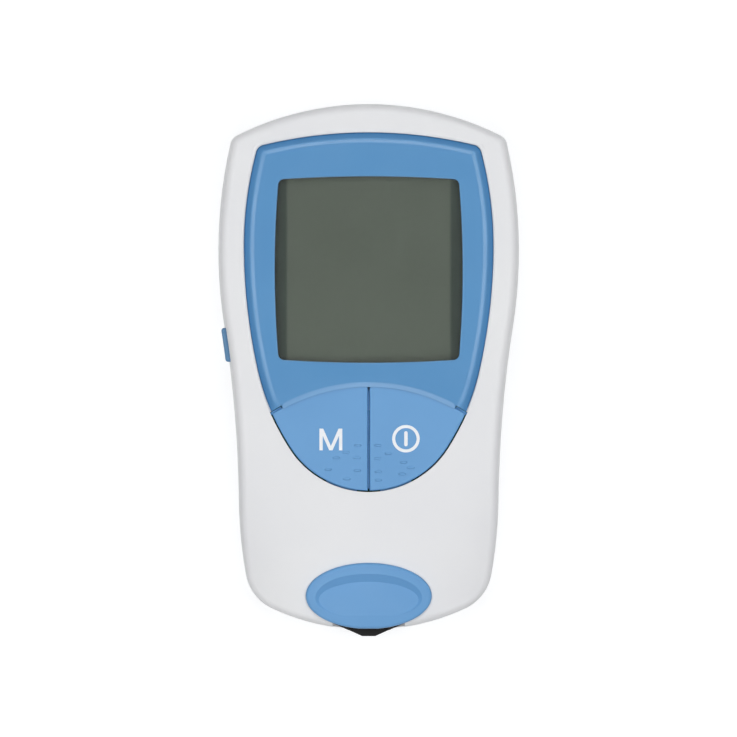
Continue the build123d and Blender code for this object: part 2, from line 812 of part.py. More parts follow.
with BuildPart() as zebra_strips:
    with BuildSketch(Plane.XY.offset(board_top_z)):
        with Locations(zebra_places):
            Rectangle(2 * view_half_width, zebra_width)
    extrude(amount=lcd_bottom_z - board_top_z)
export(zebra_strips.part, "zebra_strips")

# Main board with its chips, switches and buzzer
with BuildPart() as main_board:
    with BuildSketch(Plane.XY.offset(board_z)):
        add(case_plan(wall + board_inset))
        with Locations((0, (board_top_y + board_bottom_y) / 2)):
            Rectangle(2 * case_half_width, board_top_y - board_bottom_y, mode=Mode.INTERSECT)
        add(disc_plan(boss_places, boss_radius + board_gap), mode=Mode.SUBTRACT)
    extrude(amount=board_thickness)
export(main_board.part, "main_board")

with BuildPart() as board_chips:
    for x, y, width, length, height in upper_chips:
        with BuildSketch(Plane.XY.offset(board_top_z)):
            with Locations((x, y)):
                Rectangle(width, length)
        extrude(amount=height)
    for x, y, width, length, height in lower_chips:
        with BuildSketch(Plane.XY.offset(board_z)):
            with Locations((x, y)):
                Rectangle(width, length)
        extrude(amount=-height)
export(board_chips.part, "board_chips")

with BuildPart() as buzzer:
    with BuildSketch(Plane.XY.offset(board_top_z)):
        with Locations(buzzer_place):
            Circle(buzzer_radius)
    extrude(amount=buzzer_height)
    with BuildSketch(Plane.XY.offset(board_top_z + buzzer_height / 2)):
        with Locations(buzzer_place):
            Circle(buzzer_hole_radius)
    extrude(amount=buzzer_height, mode=Mode.SUBTRACT)
    fillet(buzzer.edges().filter_by(GeomType.CIRCLE).sort_by(SortBy.RADIUS)[-1:], buzzer_edge_radius)
export(buzzer.part, "buzzer")

switch_top_z = board_top_z + switch_height
press_z = switch_top_z + plunger_stand
press_places = [(key_press_x, key_press_y)]

with BuildPart() as key_switches:
    with BuildSketch(Plane.XY.offset(board_top_z)):
        with Locations((key_press_x, key_press_y), (-key_press_x, key_press_y)):
            Rectangle(switch_width, switch_width)
    extrude(amount=switch_height)
    with BuildSketch(Plane.XY.offset(switch_top_z)):
        add(disc_plan(press_places, plunger_radius + plunger_clearance))
    extrude(amount=-switch_bore, mode=Mode.SUBTRACT)
export(key_switches.part, "key_switches")


def key_outline(side):
    """One key from above: side is 1 for the right key and -1 for the left one."""
    half = (Align.MIN, Align.CENTER) if side > 0 else (Align.MAX, Align.CENTER)
    reach = 2 * case_half_width
    with BuildSketch(mode=Mode.PRIVATE) as plan:
        add(face_plan(-key_side_gap))
        add(key_side_plan(-key_arc_gap), mode=Mode.INTERSECT)
        with Locations((side * key_middle_gap / 2, key_press_y)):
            Rectangle(reach, reach, align=half, mode=Mode.INTERSECT)
        add(both(relief_plan(), key_side_plan(-key_relief_gap), Mode.SUBTRACT), mode=Mode.SUBTRACT)
    return plan.sketch


def key_cap(side):
    """A key: curved plate, stop lip under the housing, hinge lugs with their pin, press post."""
    outline = key_outline(side)
    middle_x = side * (key_lug_x + (key_lug_pitch + key_lug_width) / 2)
    with BuildSketch(mode=Mode.PRIVATE) as lugs:
        for start in (key_lug_x, key_lug_x + key_lug_pitch):
            with Locations((side * (start + key_lug_width / 2), key_pivot_y)):
                Rectangle(key_lug_width, 2 * ear_half_depth)
    with BuildSketch(mode=Mode.PRIVATE) as lip:
        add(face_plan(key_stop_reach))
        with Locations((side * (key_stop_x + key_stop_width / 2), key_stop_y)):
            Rectangle(key_stop_width, case_half_width, align=(Align.CENTER, Align.MAX), mode=Mode.INTERSECT)
    with BuildSketch(mode=Mode.PRIVATE) as post:
        with Locations((side * key_press_x, key_press_y)):
            Circle(key_post_radius)
    top = raised(outline, seam_z, -key_drop)
    lip_block = raised(lip.sketch, seam_z, -wall - key_stop_gap)
    lug_block = raised(lugs.sketch, key_pivot_z - ear_half_depth, -key_thickness / 2)
    post_block = raised(post.sketch, press_z, -key_thickness / 2)
    with BuildPart(mode=Mode.PRIVATE) as key:
        add(top)
        fillet(key.faces().sort_by(Axis.Z)[-1].edges(), key_edge_radius)
        add(crown_under(-key_thickness), mode=Mode.SUBTRACT)
        add(lug_block)
        add(post_block)
        with BuildSketch(Plane.YZ.offset(middle_x)):
            with Locations((key_pivot_y, key_pivot_z)):
                Circle(key_pin_radius)
        extrude(amount=(key_lug_pitch + key_lug_width) / 2, both=True)
        add(lip_block - crown_under(-wall - key_stop_gap - key_stop_thickness))
    return key.part


def plunger(side):
    """The sprung stem of a key's switch."""
    with BuildPart(mode=Mode.PRIVATE) as stem:
        with BuildSketch(Plane.XY.offset(switch_top_z - plunger_depth)):
            with Locations((side * key_press_x, key_press_y)):
                Circle(plunger_radius)
        extrude(amount=press_z - switch_top_z + plunger_depth)
    return stem.part


for name, side in (("m", -1), ("power", 1)):
    export(key_cap(side), f"key_{name}")
    export(plunger(side), f"plunger_{name}")

# SET button on the left side, with its own switch on the board's edge
set_shoulder_x = side_x(set_y - set_length / 2 - set_flange_border, set_z) - wall - set_gap
set_back_x = set_shoulder_x - set_flange
set_switch_x = set_back_x - set_travel - set_slack

with BuildPart() as set_button:
    with BuildSketch(Plane.YZ.offset(-set_back_x)):
        with Locations((set_y, set_z)):
            RectangleRounded(set_length, set_height, set_corner)
    extrude(amount=-case_half_width)
    add(plain(case_plan(-set_stand), seam_z, case_depth), mode=Mode.INTERSECT)
    fillet(set_button.faces().sort_by(Axis.X)[0].edges(), set_edge_radius)
    with BuildSketch(Plane.YZ.offset(-set_back_x)):
        with Locations((set_y, set_z)):
            RectangleRounded(set_length + 2 * set_flange_border, set_height, set_corner)
    extrude(amount=-set_flange)
export(set_button.part, "set_button")

with BuildPart() as plunger_set:
    with BuildSketch(Plane.YZ.offset(-set_back_x)):
        with Locations((set_y, set_z)):
            Circle(set_plunger_radius)
    extrude(amount=set_travel + set_slack + set_plunger_depth)
export(plunger_set.part, "plunger_set")

with BuildPart() as set_switch:
    with BuildSketch(Plane.YZ.offset(-set_switch_x)):
        with Locations((set_y, board_top_z)):
            Rectangle(switch_width, set_switch_height, align=(Align.CENTER, Align.MIN))
    extrude(amount=set_switch_depth)
    with BuildSketch(Plane.YZ.offset(-set_switch_x)):
        with Locations((set_y, set_z)):
            Circle(set_plunger_radius + plunger_clearance)
    extrude(amount=set_travel + 2 * set_plunger_depth, mode=Mode.SUBTRACT)
export(set_switch.part, "set_switch")

# Chamber cover: raised pad over a neck and a plug, thumb dish, two hooks bent on arcs about the hinge axis
dish_plane = Plane(origin=(0, dish_y, crown_z(dish_y) + cover_stand - dish_depth), x_dir=(1, 0, 0),
                   z_dir=(0, -sin(radians(dish_slope)), cos(radians(dish_slope))))


def hook_profile():
    """Side view of a cover hook about the hinge axis: a thick root that runs into a thin arc."""
    with BuildSketch(mode=Mode.PRIVATE) as profile:
        for inner, outer, start, end in hook_sectors:
            with BuildLine():
                low = CenterArc((hinge_y, hinge_z), inner, start, end - start)
                high = CenterArc((hinge_y, hinge_z), outer, start, end - start)
                Line(low @ 0, high @ 0)
                Line(low @ 1, high @ 1)
            make_face()
    return profile.sketch


with BuildPart() as cover_dish:
    with BuildSketch(dish_plane):
        Ellipse(dish_half_length, dish_half_depth)
    extrude(amount=cover_plug, taper=-dish_draft)

with BuildPart() as cover_neck:
    add(raised(cover_plan(), seam_z, cover_clearance))
    add(crown_under(-cover_rim / 2), mode=Mode.SUBTRACT)

with BuildPart() as cover_lower:
    add(raised(cover_plan(-cover_step), seam_z, -cover_rim / 2))
    add(crown_under(-cover_rim), mode=Mode.SUBTRACT)

with BuildPart() as cover_plug_block:
    add(raised(cover_plan(-cover_ledge - cover_plug_gap), seam_z, -cover_rim / 2))
    add(crown_under(-cover_plug), mode=Mode.SUBTRACT)

with BuildPart() as chamber_cover:
    add(raised(cover_plan(cover_overhang, cover_corner), seam_z, cover_stand))
    fillet(chamber_cover.faces().sort_by(Axis.Z)[-1].edges(), cover_edge_radius)
    add(crown_under(cover_clearance), mode=Mode.SUBTRACT)
    add([cover_neck.part, cover_lower.part, cover_plug_block.part])
    for x in (-cover_hook_x, cover_hook_x):
        with BuildSketch(Plane.YZ.offset(x - cover_hook_width / 2)):
            add(hook_profile())
        extrude(amount=cover_hook_width)
    add(cover_dish.part, mode=Mode.SUBTRACT)
export(chamber_cover.part, "chamber_cover")

# Strip guide: black nose with an open channel for the test strip
with BuildPart() as strip_guide:
    with BuildSketch(Plane.YZ.offset(-nose_half_width)):
        with BuildLine():
            Polyline((guide_back_y, guide_bottom_z), (guide_back_y, guide_top_z), (guide_lip_y, guide_top_z),
                     (guide_lip_y, guide_lip_z), (nose_crest_y, guide_lip_z), (nose_y, nose_tip_top_z),
                     (nose_y, nose_tip_bottom_z), (nose_heel_y, guide_bottom_z), close=True)
        make_face()
    extrude(amount=2 * nose_half_width)
    with BuildSketch(Plane.XY.offset(guide_bottom_z)):
        with BuildLine():
            Polyline((nose_half_width, guide_back_y), (nose_half_width, nose_shoulder_y),
                     (nose_tip_half, nose_y), (-nose_tip_half, nose_y),
                     (-nose_half_width, nose_shoulder_y), (-nose_half_width, guide_back_y), close=True)
        make_face()
    extrude(amount=guide_lip_z, mode=Mode.INTERSECT)
    with BuildSketch(Plane.XY.offset(strip_z)):
        with BuildLine():
            Polyline((channel_half, guide_back_y), (channel_half, guide_lip_y),
                     (channel_half + funnel_flare, nose_y), (-channel_half - funnel_flare, nose_y),
                     (-channel_half, guide_lip_y), (-channel_half, guide_back_y), close=True)
        make_face()
    extrude(amount=guide_lip_z, mode=Mode.SUBTRACT)
export(strip_guide.part, "strip_guide")

# Measuring block: channel for the strip, pocket for the heater, contacts behind it
block_front_y = guide_back_y + seam_gap
channel_back_y = block_back_y - block_wall
heater_middle_y = block_front_y + heater_setback + heater_length / 2

with BuildPart() as measuring_block:
    add(block_between((-block_half_width, block_front_y, floor_z),
                      (block_half_width, block_back_y, block_top_z)))
    add(block_between((-channel_half, block_front_y - wall, strip_z),
                      (channel_half, channel_back_y, case_depth)),
        mode=Mode.SUBTRACT)
    with BuildSketch(Plane.XY.offset(strip_z)):
        with Locations((0, heater_middle_y)):
            Rectangle(2 * heater_half_width, heater_length)
    extrude(amount=-heater_thickness, mode=Mode.SUBTRACT)
    with BuildSketch(Plane.XY.offset(block_top_z)):
        add(disc_plan([(block_half_width - peg_inset, block_back_y - peg_inset)], peg_radius))
    extrude(amount=-block_peg_depth, mode=Mode.SUBTRACT)
export(measuring_block.part, "measuring_block")

with BuildPart() as heater_plate:
    with BuildSketch(Plane.XY.offset(strip_z)):
        with Locations((0, heater_middle_y)):
            Rectangle(2 * (heater_half_width - seam_gap), heater_length - 2 * seam_gap)
    extrude(amount=-heater_thickness)
export(heater_plate.part, "heater_plate")

with BuildPart() as strip_contacts:
    for i in range(contact_count):
        with BuildSketch(Plane.YZ.offset((i - (contact_count - 1) / 2) * contact_pitch - contact_width / 2)):
            with BuildLine():
                base = (channel_back_y, strip_z)
                tip_y = channel_back_y - contact_length
                Polyline(base, (channel_back_y, strip_z + contact_thickness),
                         (tip_y + contact_ramp, strip_z + contact_thickness),
                         (tip_y + contact_rise, strip_z + contact_rise + contact_thickness),
                         (tip_y, strip_z + contact_thickness), (tip_y, strip_z + contact_toe),
                         (tip_y + contact_rise, strip_z + contact_rise),
                         (tip_y + contact_ramp, strip_z), close=True)
            make_face()
        extrude(amount=contact_width)
export(strip_contacts.part, "strip_contacts")

# Flat flex that rises behind the block to its connector under the board
flex_y = block_back_y + seam_gap
connector_y = board_bottom_y + connector_margin
flex_z = board_z - connector_height / 2

with BuildPart() as sensor_flex:
    with BuildSketch(Plane.YZ.offset(-flex_half_width)):
        with BuildLine():
            Polyline((flex_y, flex_low_z), (flex_y, flex_z + flex_thickness),
                     (connector_y, flex_z + flex_thickness), (connector_y, flex_z),
                     (flex_y + flex_thickness, flex_z),
                     (flex_y + flex_thickness, flex_low_z), close=True)
        make_face()
    extrude(amount=2 * flex_half_width)
export(sensor_flex.part, "sensor_flex")

with BuildPart() as flex_connector:
    add(block_between((-flex_half_width - connector_margin, connector_y, board_z - connector_height),
                      (flex_half_width + connector_margin, connector_y + connector_length, board_z)))
export(flex_connector.part, "flex_connector")

# Code chip socket under the board, its mouth at the slot in the right wall
socket_inner_x = bay_half_width + bay_wall + board_gap
socket_outer_x = side_x(chip_y - chip_width / 2 - chip_socket_wall, seam_z + seam_gap) - wall - 2 * board_gap
socket_bottom_z = chip_slot_z - chip_height / 2 - chip_socket_wall
socket_back_x = socket_outer_x - chip_socket_depth

with BuildPart() as code_chip_socket:
    add(block_between((socket_inner_x, chip_y - chip_width / 2 - chip_socket_wall, socket_bottom_z),
                      (socket_outer_x, chip_y + chip_width / 2 + chip_socket_wall, board_z)))
    add(block_between((socket_back_x, chip_y - chip_width / 2, chip_slot_z - chip_height / 2),
                      (case_half_width, chip_y + chip_width / 2, chip_slot_z + chip_height / 2)),
        mode=Mode.SUBTRACT)
export(code_chip_socket.part, "code_chip_socket")

with BuildPart() as code_chip_contacts:
    for i in range(chip_contact_count):
        y = chip_y + (i - (chip_contact_count - 1) / 2) * chip_contact_pitch
        with BuildSketch(Plane.XZ.offset(-y - chip_contact_width / 2)):
            with BuildLine():
                Polyline((socket_back_x, chip_slot_z - chip_height / 2),
                         (socket_back_x, chip_slot_z - chip_height / 2 + chip_contact_height),
                         (socket_back_x + chip_contact_length / 2,
                          chip_slot_z - chip_height / 2 + chip_contact_height),
                         (socket_back_x + chip_contact_length, chip_slot_z - chip_height / 2), close=True)
            make_face()
        extrude(amount=chip_contact_width)
export(code_chip_contacts.part, "code_chip_contacts")

# Infrared window: a tinted piece of the top wall, and the transceiver behind it on the board's edge
with BuildPart() as ir_window:
    add(raised(case_plan(ir_inset), seam_z, -wall, front_draft))
    add(raised(case_plan(wall), seam_z, 0.0, front_draft), mode=Mode.SUBTRACT)
    with BuildSketch(Plane.XZ.offset(-case_top_y + 2 * wall)):
        with Locations((0, (ir_bottom_z + ir_top_z) / 2)):
            Rectangle(2 * (ir_half_width - ir_gap), ir_top_z - ir_bottom_z - 2 * ir_gap)
    extrude(amount=-4 * wall, mode=Mode.INTERSECT)
export(ir_window.part, "ir_window")

transceiver_front_y = case_top_y - wall - transceiver_gap - lens_stand
with BuildPart() as ir_transceiver:
    transceiver_back_y = board_top_y - transceiver_overlap
    add(block_between((-transceiver_half_width, transceiver_back_y, board_z - transceiver_height),
                      (transceiver_half_width, transceiver_front_y, board_z)))
    with BuildSketch(Plane.XZ.offset(-transceiver_front_y)):
        with Locations((-transceiver_half_width / 2, board_z - transceiver_height / 2),
                       (transceiver_half_width / 2, board_z - transceiver_height / 2)):
            Circle(lens_radius)
    extrude(amount=-lens_stand)
export(ir_transceiver.part, "ir_transceiver")

# Four cells, every other one turned round
cell_xs = [(i - (cell_count - 1) / 2) * cell_pitch for i in range(cell_count)]
for i, x in enumerate(cell_xs):
    turned = 1 if i % 2 == 0 else -1
    bay_wall_y = bay_start_y if turned > 0 else bay_end_y
    flat_y = bay_wall_y + turned * (contact_plate + spring_room)
    shoulder_y = flat_y + turned * (cell_length - cell_nub_length)
    tip_y = flat_y + turned * cell_length
    with BuildPart() as cell:
        with BuildSketch(Plane.XY.offset(cell_z)):
            with BuildLine():
                Polyline((x, flat_y), (x + cell_radius, flat_y), (x + cell_radius, shoulder_y),
                         (x + cell_nub_radius, shoulder_y), (x + cell_nub_radius, tip_y), (x, tip_y),
                         close=True)
            make_face()
        revolve(axis=Axis((x, 0, cell_z), (0, 1, 0)))
        chamfer(cell.edges().filter_by(GeomType.CIRCLE).group_by(SortBy.RADIUS)[-1], cell_bevel)
    export(cell.part, f"cell_{i + 1}")

# Battery contacts: bridging plates at both ends, and a bowed leaf spring at each cell's flat end
plate_low_z = cell_z - contact_plate_width / 2
plate_high_z = cell_z + contact_plate_width / 2
with BuildPart() as battery_plates:
    for y, groups in ((bay_start_y, [(0, 0), (1, 2), (3, 3)]), (bay_end_y - contact_plate, [(0, 1), (2, 3)])):
        for first, last in groups:
            add(block_between((cell_xs[first] - contact_plate_width / 2, y, plate_low_z),
                              (cell_xs[last] + contact_plate_width / 2, y + contact_plate, plate_high_z)))
export(battery_plates.part, "battery_plates")

with BuildPart() as battery_springs:
    for i, x in enumerate(cell_xs):
        turned = 1 if i % 2 == 0 else -1
        root_y = bay_start_y + contact_plate if turned > 0 else bay_end_y - contact_plate
        with BuildSketch(Plane.YZ.offset(x - leaf_width / 2)):
            with BuildLine():
                outer = ThreePointArc((root_y, cell_z - leaf_half_height),
                                      (root_y + turned * spring_room, cell_z),
                                      (root_y, cell_z + leaf_half_height))
                inner = ThreePointArc((root_y, cell_z - leaf_half_height + leaf_thickness),
                                      (root_y + turned * (spring_room - leaf_thickness), cell_z),
                                      (root_y, cell_z + leaf_half_height - leaf_thickness))
                Line(outer @ 0, inner @ 0)
                Line(outer @ 1, inner @ 1)
            make_face()
        extrude(amount=leaf_width)
export(battery_springs.part, "battery_springs")

# Battery door: hooks at the display end, sprung latch tongue with a grip at the other
door_middle_y = (door_start_y + door_end_y) / 2
hook_outer_y = door_end_y - door_gap
hook_top_z = floor_z + door_hook_lift + door_hook_thickness

with BuildPart() as battery_door:
    with BuildSketch(Plane.XY.offset(foot_stand)):
        with Locations((0, door_middle_y)):
            RectangleRounded(2 * (door_half_width - door_gap), door_end_y - door_start_y - 2 * door_gap,
                             door_corner - door_gap)
        with Locations((latch_width / 2, door_start_y), (-latch_width / 2, door_start_y)):
            Rectangle(latch_slot, latch_length, align=(Align.CENTER, Align.MIN), mode=Mode.SUBTRACT)
    extrude(amount=door_thickness)
    for x in (-door_hook_x, door_hook_x):
        with BuildSketch(Plane.YZ.offset(x - door_hook_width / 2)):
            with BuildLine():
                Polyline((hook_outer_y, door_inner_z - door_thickness / 2),
                         (hook_outer_y, floor_z + door_hook_lift),
                         (hook_outer_y + door_hook_reach, floor_z + door_hook_lift),
                         (hook_outer_y + door_hook_reach, hook_top_z),
                         (hook_outer_y - door_hook_thickness, hook_top_z),
                         (hook_outer_y - door_hook_thickness, door_inner_z - door_thickness / 2), close=True)
            make_face()
        extrude(amount=door_hook_width)
    with BuildSketch(Plane.XY.offset(door_inner_z)):
        for left, right in zip(cell_xs, cell_xs[1:]):
            with Locations(((left + right) / 2, (bay_start_y + bay_end_y) / 2)):
                Rectangle(door_rib_width, bay_length - 2 * door_rib_inset)
    extrude(amount=door_rib_height)
    with BuildSketch(Plane.XY.offset(foot_stand)):
        with Locations((0, door_start_y + latch_length / 2)):
            with GridLocations(0, grip_pitch, 1, grip_count):
                SlotOverall(latch_width - 4 * latch_slot, grip_width)
    extrude(amount=grip_depth, mode=Mode.SUBTRACT)
export(battery_door.part, "battery_door")

# Housing screws and rubber feet
with BuildPart() as housing_screws:
    with BuildSketch(Plane.XY.offset(screw_seat_z)):
        add(disc_plan(boss_places, screw_head_radius))
    extrude(amount=-screw_head_height)
    with BuildSketch(Plane.XY.offset(screw_seat_z)):
        add(disc_plan(boss_places, screw_radius))
    extrude(amount=boss_split_z - screw_seat_z + screw_bite - screw_tip_gap)
export(housing_screws.part, "housing_screws")

with BuildPart() as rubber_feet:
    with BuildSketch():
        add(disc_plan(foot_places, foot_radius))
    extrude(amount=foot_stand + foot_recess)
    chamfer(rubber_feet.edges().group_by(Axis.Z)[0], foot_chamfer)
export(rubber_feet.part, "rubber_feet")
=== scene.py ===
import math
import bmesh
import bpy
import numpy
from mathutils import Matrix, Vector
from mathutils.bvhtree import BVHTree


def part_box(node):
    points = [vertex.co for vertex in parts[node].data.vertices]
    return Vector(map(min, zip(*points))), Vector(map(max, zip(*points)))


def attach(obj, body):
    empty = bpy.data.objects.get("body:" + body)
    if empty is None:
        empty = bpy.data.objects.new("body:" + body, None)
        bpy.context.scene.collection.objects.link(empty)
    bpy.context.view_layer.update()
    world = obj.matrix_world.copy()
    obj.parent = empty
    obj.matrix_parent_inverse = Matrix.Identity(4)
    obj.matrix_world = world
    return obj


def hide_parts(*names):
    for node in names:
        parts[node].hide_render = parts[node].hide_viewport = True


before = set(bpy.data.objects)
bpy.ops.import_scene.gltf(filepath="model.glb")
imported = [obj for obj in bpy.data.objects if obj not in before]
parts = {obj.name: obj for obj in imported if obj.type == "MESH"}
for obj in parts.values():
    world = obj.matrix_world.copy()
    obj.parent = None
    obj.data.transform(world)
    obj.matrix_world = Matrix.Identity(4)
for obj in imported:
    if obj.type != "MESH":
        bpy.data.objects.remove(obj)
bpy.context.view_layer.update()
mm = 0.001
print("meter loaded with", len(parts), "nodes")


# small helpers for the finishes: all sizes in metres, colours as 0 to 255 screen values

def paint(colour):
    def linear(value):
        value = value / 255
        return value / 12.92 if value <= 0.04045 else ((value + 0.055) / 1.055) ** 2.4
    return (linear(colour[0]), linear(colour[1]), linear(colour[2]), 1.0)


def newFinish(name):
    finish = bpy.data.materials.new(name)
    finish.use_nodes = True
    tree = finish.node_tree
    shader = tree.nodes["Principled BSDF"]
    where = tree.nodes.new("ShaderNodeTexCoord").outputs["Object"]
    return finish, tree, shader, where


def addNoise(tree, where, size, detail=2.0, stretch=None):
    if stretch:
        mapping = tree.nodes.new("ShaderNodeMapping")
        mapping.inputs["Scale"].default_value = stretch
        tree.links.new(where, mapping.inputs["Vector"])
        where = mapping.outputs["Vector"]
    noise = tree.nodes.new("ShaderNodeTexNoise")
    noise.inputs["Scale"].default_value = 1 / size
    noise.inputs["Detail"].default_value = detail
    tree.links.new(where, noise.inputs["Vector"])
    return noise.outputs["Fac"]


def addRamp(tree, source, stops):
    ramp = tree.nodes.new("ShaderNodeValToRGB")
    elements = ramp.color_ramp.elements
    while len(elements) < len(stops):
        elements.new(0.5)
    for element, (at, colour) in zip(elements, stops):
        element.position = at
        element.color = paint(colour)
    tree.links.new(source, ramp.inputs["Fac"])
    return ramp.outputs["Color"]


def addRange(tree, source, low, high, fromLow=0.3, fromHigh=0.7):
    span = tree.nodes.new("ShaderNodeMapRange")
    span.inputs["From Min"].default_value = fromLow
    span.inputs["From Max"].default_value = fromHigh
    span.inputs["To Min"].default_value = low
    span.inputs["To Max"].default_value = high
    tree.links.new(source, span.inputs["Value"])
    return span.outputs["Result"]


def addBump(tree, shader, source, depth):
    bump = tree.nodes.new("ShaderNodeBump")
    bump.inputs["Distance"].default_value = depth
    tree.links.new(source, bump.inputs["Height"])
    tree.links.new(bump.outputs["Normal"], shader.inputs["Normal"])


def addAxis(tree, where, axis):
    split = tree.nodes.new("ShaderNodeSeparateXYZ")
    tree.links.new(where, split.inputs["Vector"])
    return split.outputs[axis]


def addMath(tree, operation, first, second=None):
    step = tree.nodes.new("ShaderNodeMath")
    step.operation = operation
    tree.links.new(first, step.inputs[0])
    if isinstance(second, (int, float)):
        step.inputs[1].default_value = second
    elif second is not None:
        tree.links.new(second, step.inputs[1])
    return step.outputs[0]


def mixSurfaces(tree, share, first, second):
    # the first shader where the share is 0, the second where it is 1
    mix = tree.nodes.new("ShaderNodeMixShader")
    tree.links.new(share, mix.inputs["Fac"])
    tree.links.new(first, mix.inputs[1])
    tree.links.new(second, mix.inputs[2])
    return mix.outputs["Shader"]


# moulded plastic, rubber and metal all share this: two close tones, uneven gloss and a fine grain
moulding = {
    "toneStops": (0.35, 0.65),
    "rubShare": 0.4,
    "patchDetail": 3.0,
    "rubDetail": 4.0,
    "grainDetail": 2.0,
}


def addTones(tree, source, tones):
    return addRamp(tree, source, list(zip(moulding["toneStops"], tones)))


def mouldedFinish(name, look):
    finish, tree, shader, where = newFinish(name)
    stretch = look.get("stretch")
    patches = addNoise(tree, where, look["patch"], moulding["patchDetail"], stretch)
    tree.links.new(addTones(tree, patches, look["tones"]), shader.inputs["Base Color"])
    rub = addNoise(tree, where, look["patch"] * moulding["rubShare"], moulding["rubDetail"], stretch)
    tree.links.new(addRange(tree, rub, *look["roughness"]), shader.inputs["Roughness"])
    grain = addNoise(tree, where, look["grain"], moulding["grainDetail"], stretch)
    addBump(tree, shader, grain, look["depth"])
    shader.inputs["Metallic"].default_value = look.get("metal", 0.0)
    shader.inputs["Specular IOR Level"].default_value = look.get("specular", 0.5)
    shader.inputs["Coat Weight"].default_value = look.get("coat", 0.0)
    shader.inputs["Coat Roughness"].default_value = look.get("coatRoughness", 0.1)
    return finish


def dress(finish, *names):
    for name in names:
        slots = parts[name].data.materials
        slots.clear()
        slots.append(finish)


# camera straight above the display, far off with a long lens
cameraLook = {
    "height": 2.5,
    "plane": 0.0105,  # height of the case outline, where "across" is as wide as the picture
    "across": 0.1912,
    "centre": (-0.00005, 0.0004),
    "sensor": 36.0,
    "farthest": 20.0,
}


def makeCamera(look):
    camera = bpy.data.objects.new("camera", bpy.data.cameras.new("camera"))
    bpy.context.scene.collection.objects.link(camera)
    camera.location = (*look["centre"], look["height"])
    camera.data.sensor_width = look["sensor"]
    camera.data.lens = look["sensor"] * (look["height"] - look["plane"]) / look["across"]
    camera.data.clip_end = look["farthest"]
    bpy.context.scene.camera = camera
    print("camera set, lens", round(camera.data.lens, 1), "mm")


makeCamera(cameraLook)


# studio: pale world that is dimmer overhead, soft lamps round the camera and a white floor with the shadow
studioLook = {
    "sky": 0.22,
    "skyBelow": 0.6,
    "horizon": (-0.1, 0.1),
    "overhead": 0.3,
    "overheadFrom": (0.6, 0.95),
    "lamps": [
        ("lampLeft", (-0.95, 0.0, 2.0), (1.3, 0.8), 11.3),
        ("lampRight", (0.95, 0.0, 2.0), (1.3, 0.8), 11.3),
        ("lampFront", (0.0, -1.15, 2.0), (1.3, 0.55), 10.0),
        ("lampBack", (0.0, 1.1, 2.0), (1.3, 0.6), 10.0),
    ],
    "floorTones": ((186, 188, 190), (188, 190, 192)),
    "floorStops": (0.3, 0.7),
    "floorPatch": 0.08,
    "floorRoughness": 0.9,
    "floorGlow": 0.62,
    "floorHalf": 1.6,
}
white = (1.0, 1.0, 1.0, 1.0)


def raySeen(tree):
    # 1 for camera, glossy and transmission rays, which see the white background
    path = tree.nodes.new("ShaderNodeLightPath")
    seen = addMath(tree, "MAXIMUM", path.outputs["Is Camera Ray"], path.outputs["Is Glossy Ray"])
    return addMath(tree, "MAXIMUM", seen, path.outputs["Is Transmission Ray"])


def makeWorld(look):
    world = bpy.data.worlds.new("studioSky")
    world.use_nodes = True
    tree = world.node_tree
    plain = tree.nodes["Background"]
    plain.inputs["Color"].default_value = white
    paper = tree.nodes.new("ShaderNodeBackground")
    paper.inputs["Color"].default_value = white
    path = tree.nodes.new("ShaderNodeLightPath")
    height = addAxis(tree, tree.nodes.new("ShaderNodeTexCoord").outputs["Generated"], "Z")
    skyStrength = addRange(tree, height, look["skyBelow"], look["sky"], *look["horizon"])
    tree.links.new(skyStrength, plain.inputs["Strength"])
    # reflections see the white paper dimmer overhead, where the camera is
    ceiling = addRange(tree, height, 1.0, look["overhead"], *look["overheadFrom"])
    mirrored = addMath(tree, "SUBTRACT", path.outputs["Is Glossy Ray"], path.outputs["Is Camera Ray"])
    dim = tree.nodes.new("ShaderNodeMix")
    dim.inputs["A"].default_value = 1.0
    tree.links.new(mirrored, dim.inputs["Factor"])
    tree.links.new(ceiling, dim.inputs["B"])
    tree.links.new(dim.outputs["Result"], paper.inputs["Strength"])
    sky = mixSurfaces(tree, raySeen(tree), plain.outputs["Background"], paper.outputs["Background"])
    tree.links.new(sky, tree.nodes["World Output"].inputs["Surface"])
    bpy.context.scene.world = world


def makeLamps(look):
    for name, at, size, watts in look["lamps"]:
        lamp = bpy.data.objects.new(name, bpy.data.lights.new(name, "AREA"))
        lamp.data.shape = "ELLIPSE"
        lamp.data.size, lamp.data.size_y = size
        lamp.data.energy = watts
        lamp.location = at
        lamp.rotation_euler = (-Vector(at)).to_track_quat("-Z", "Y").to_euler()
        bpy.context.scene.collection.objects.link(lamp)


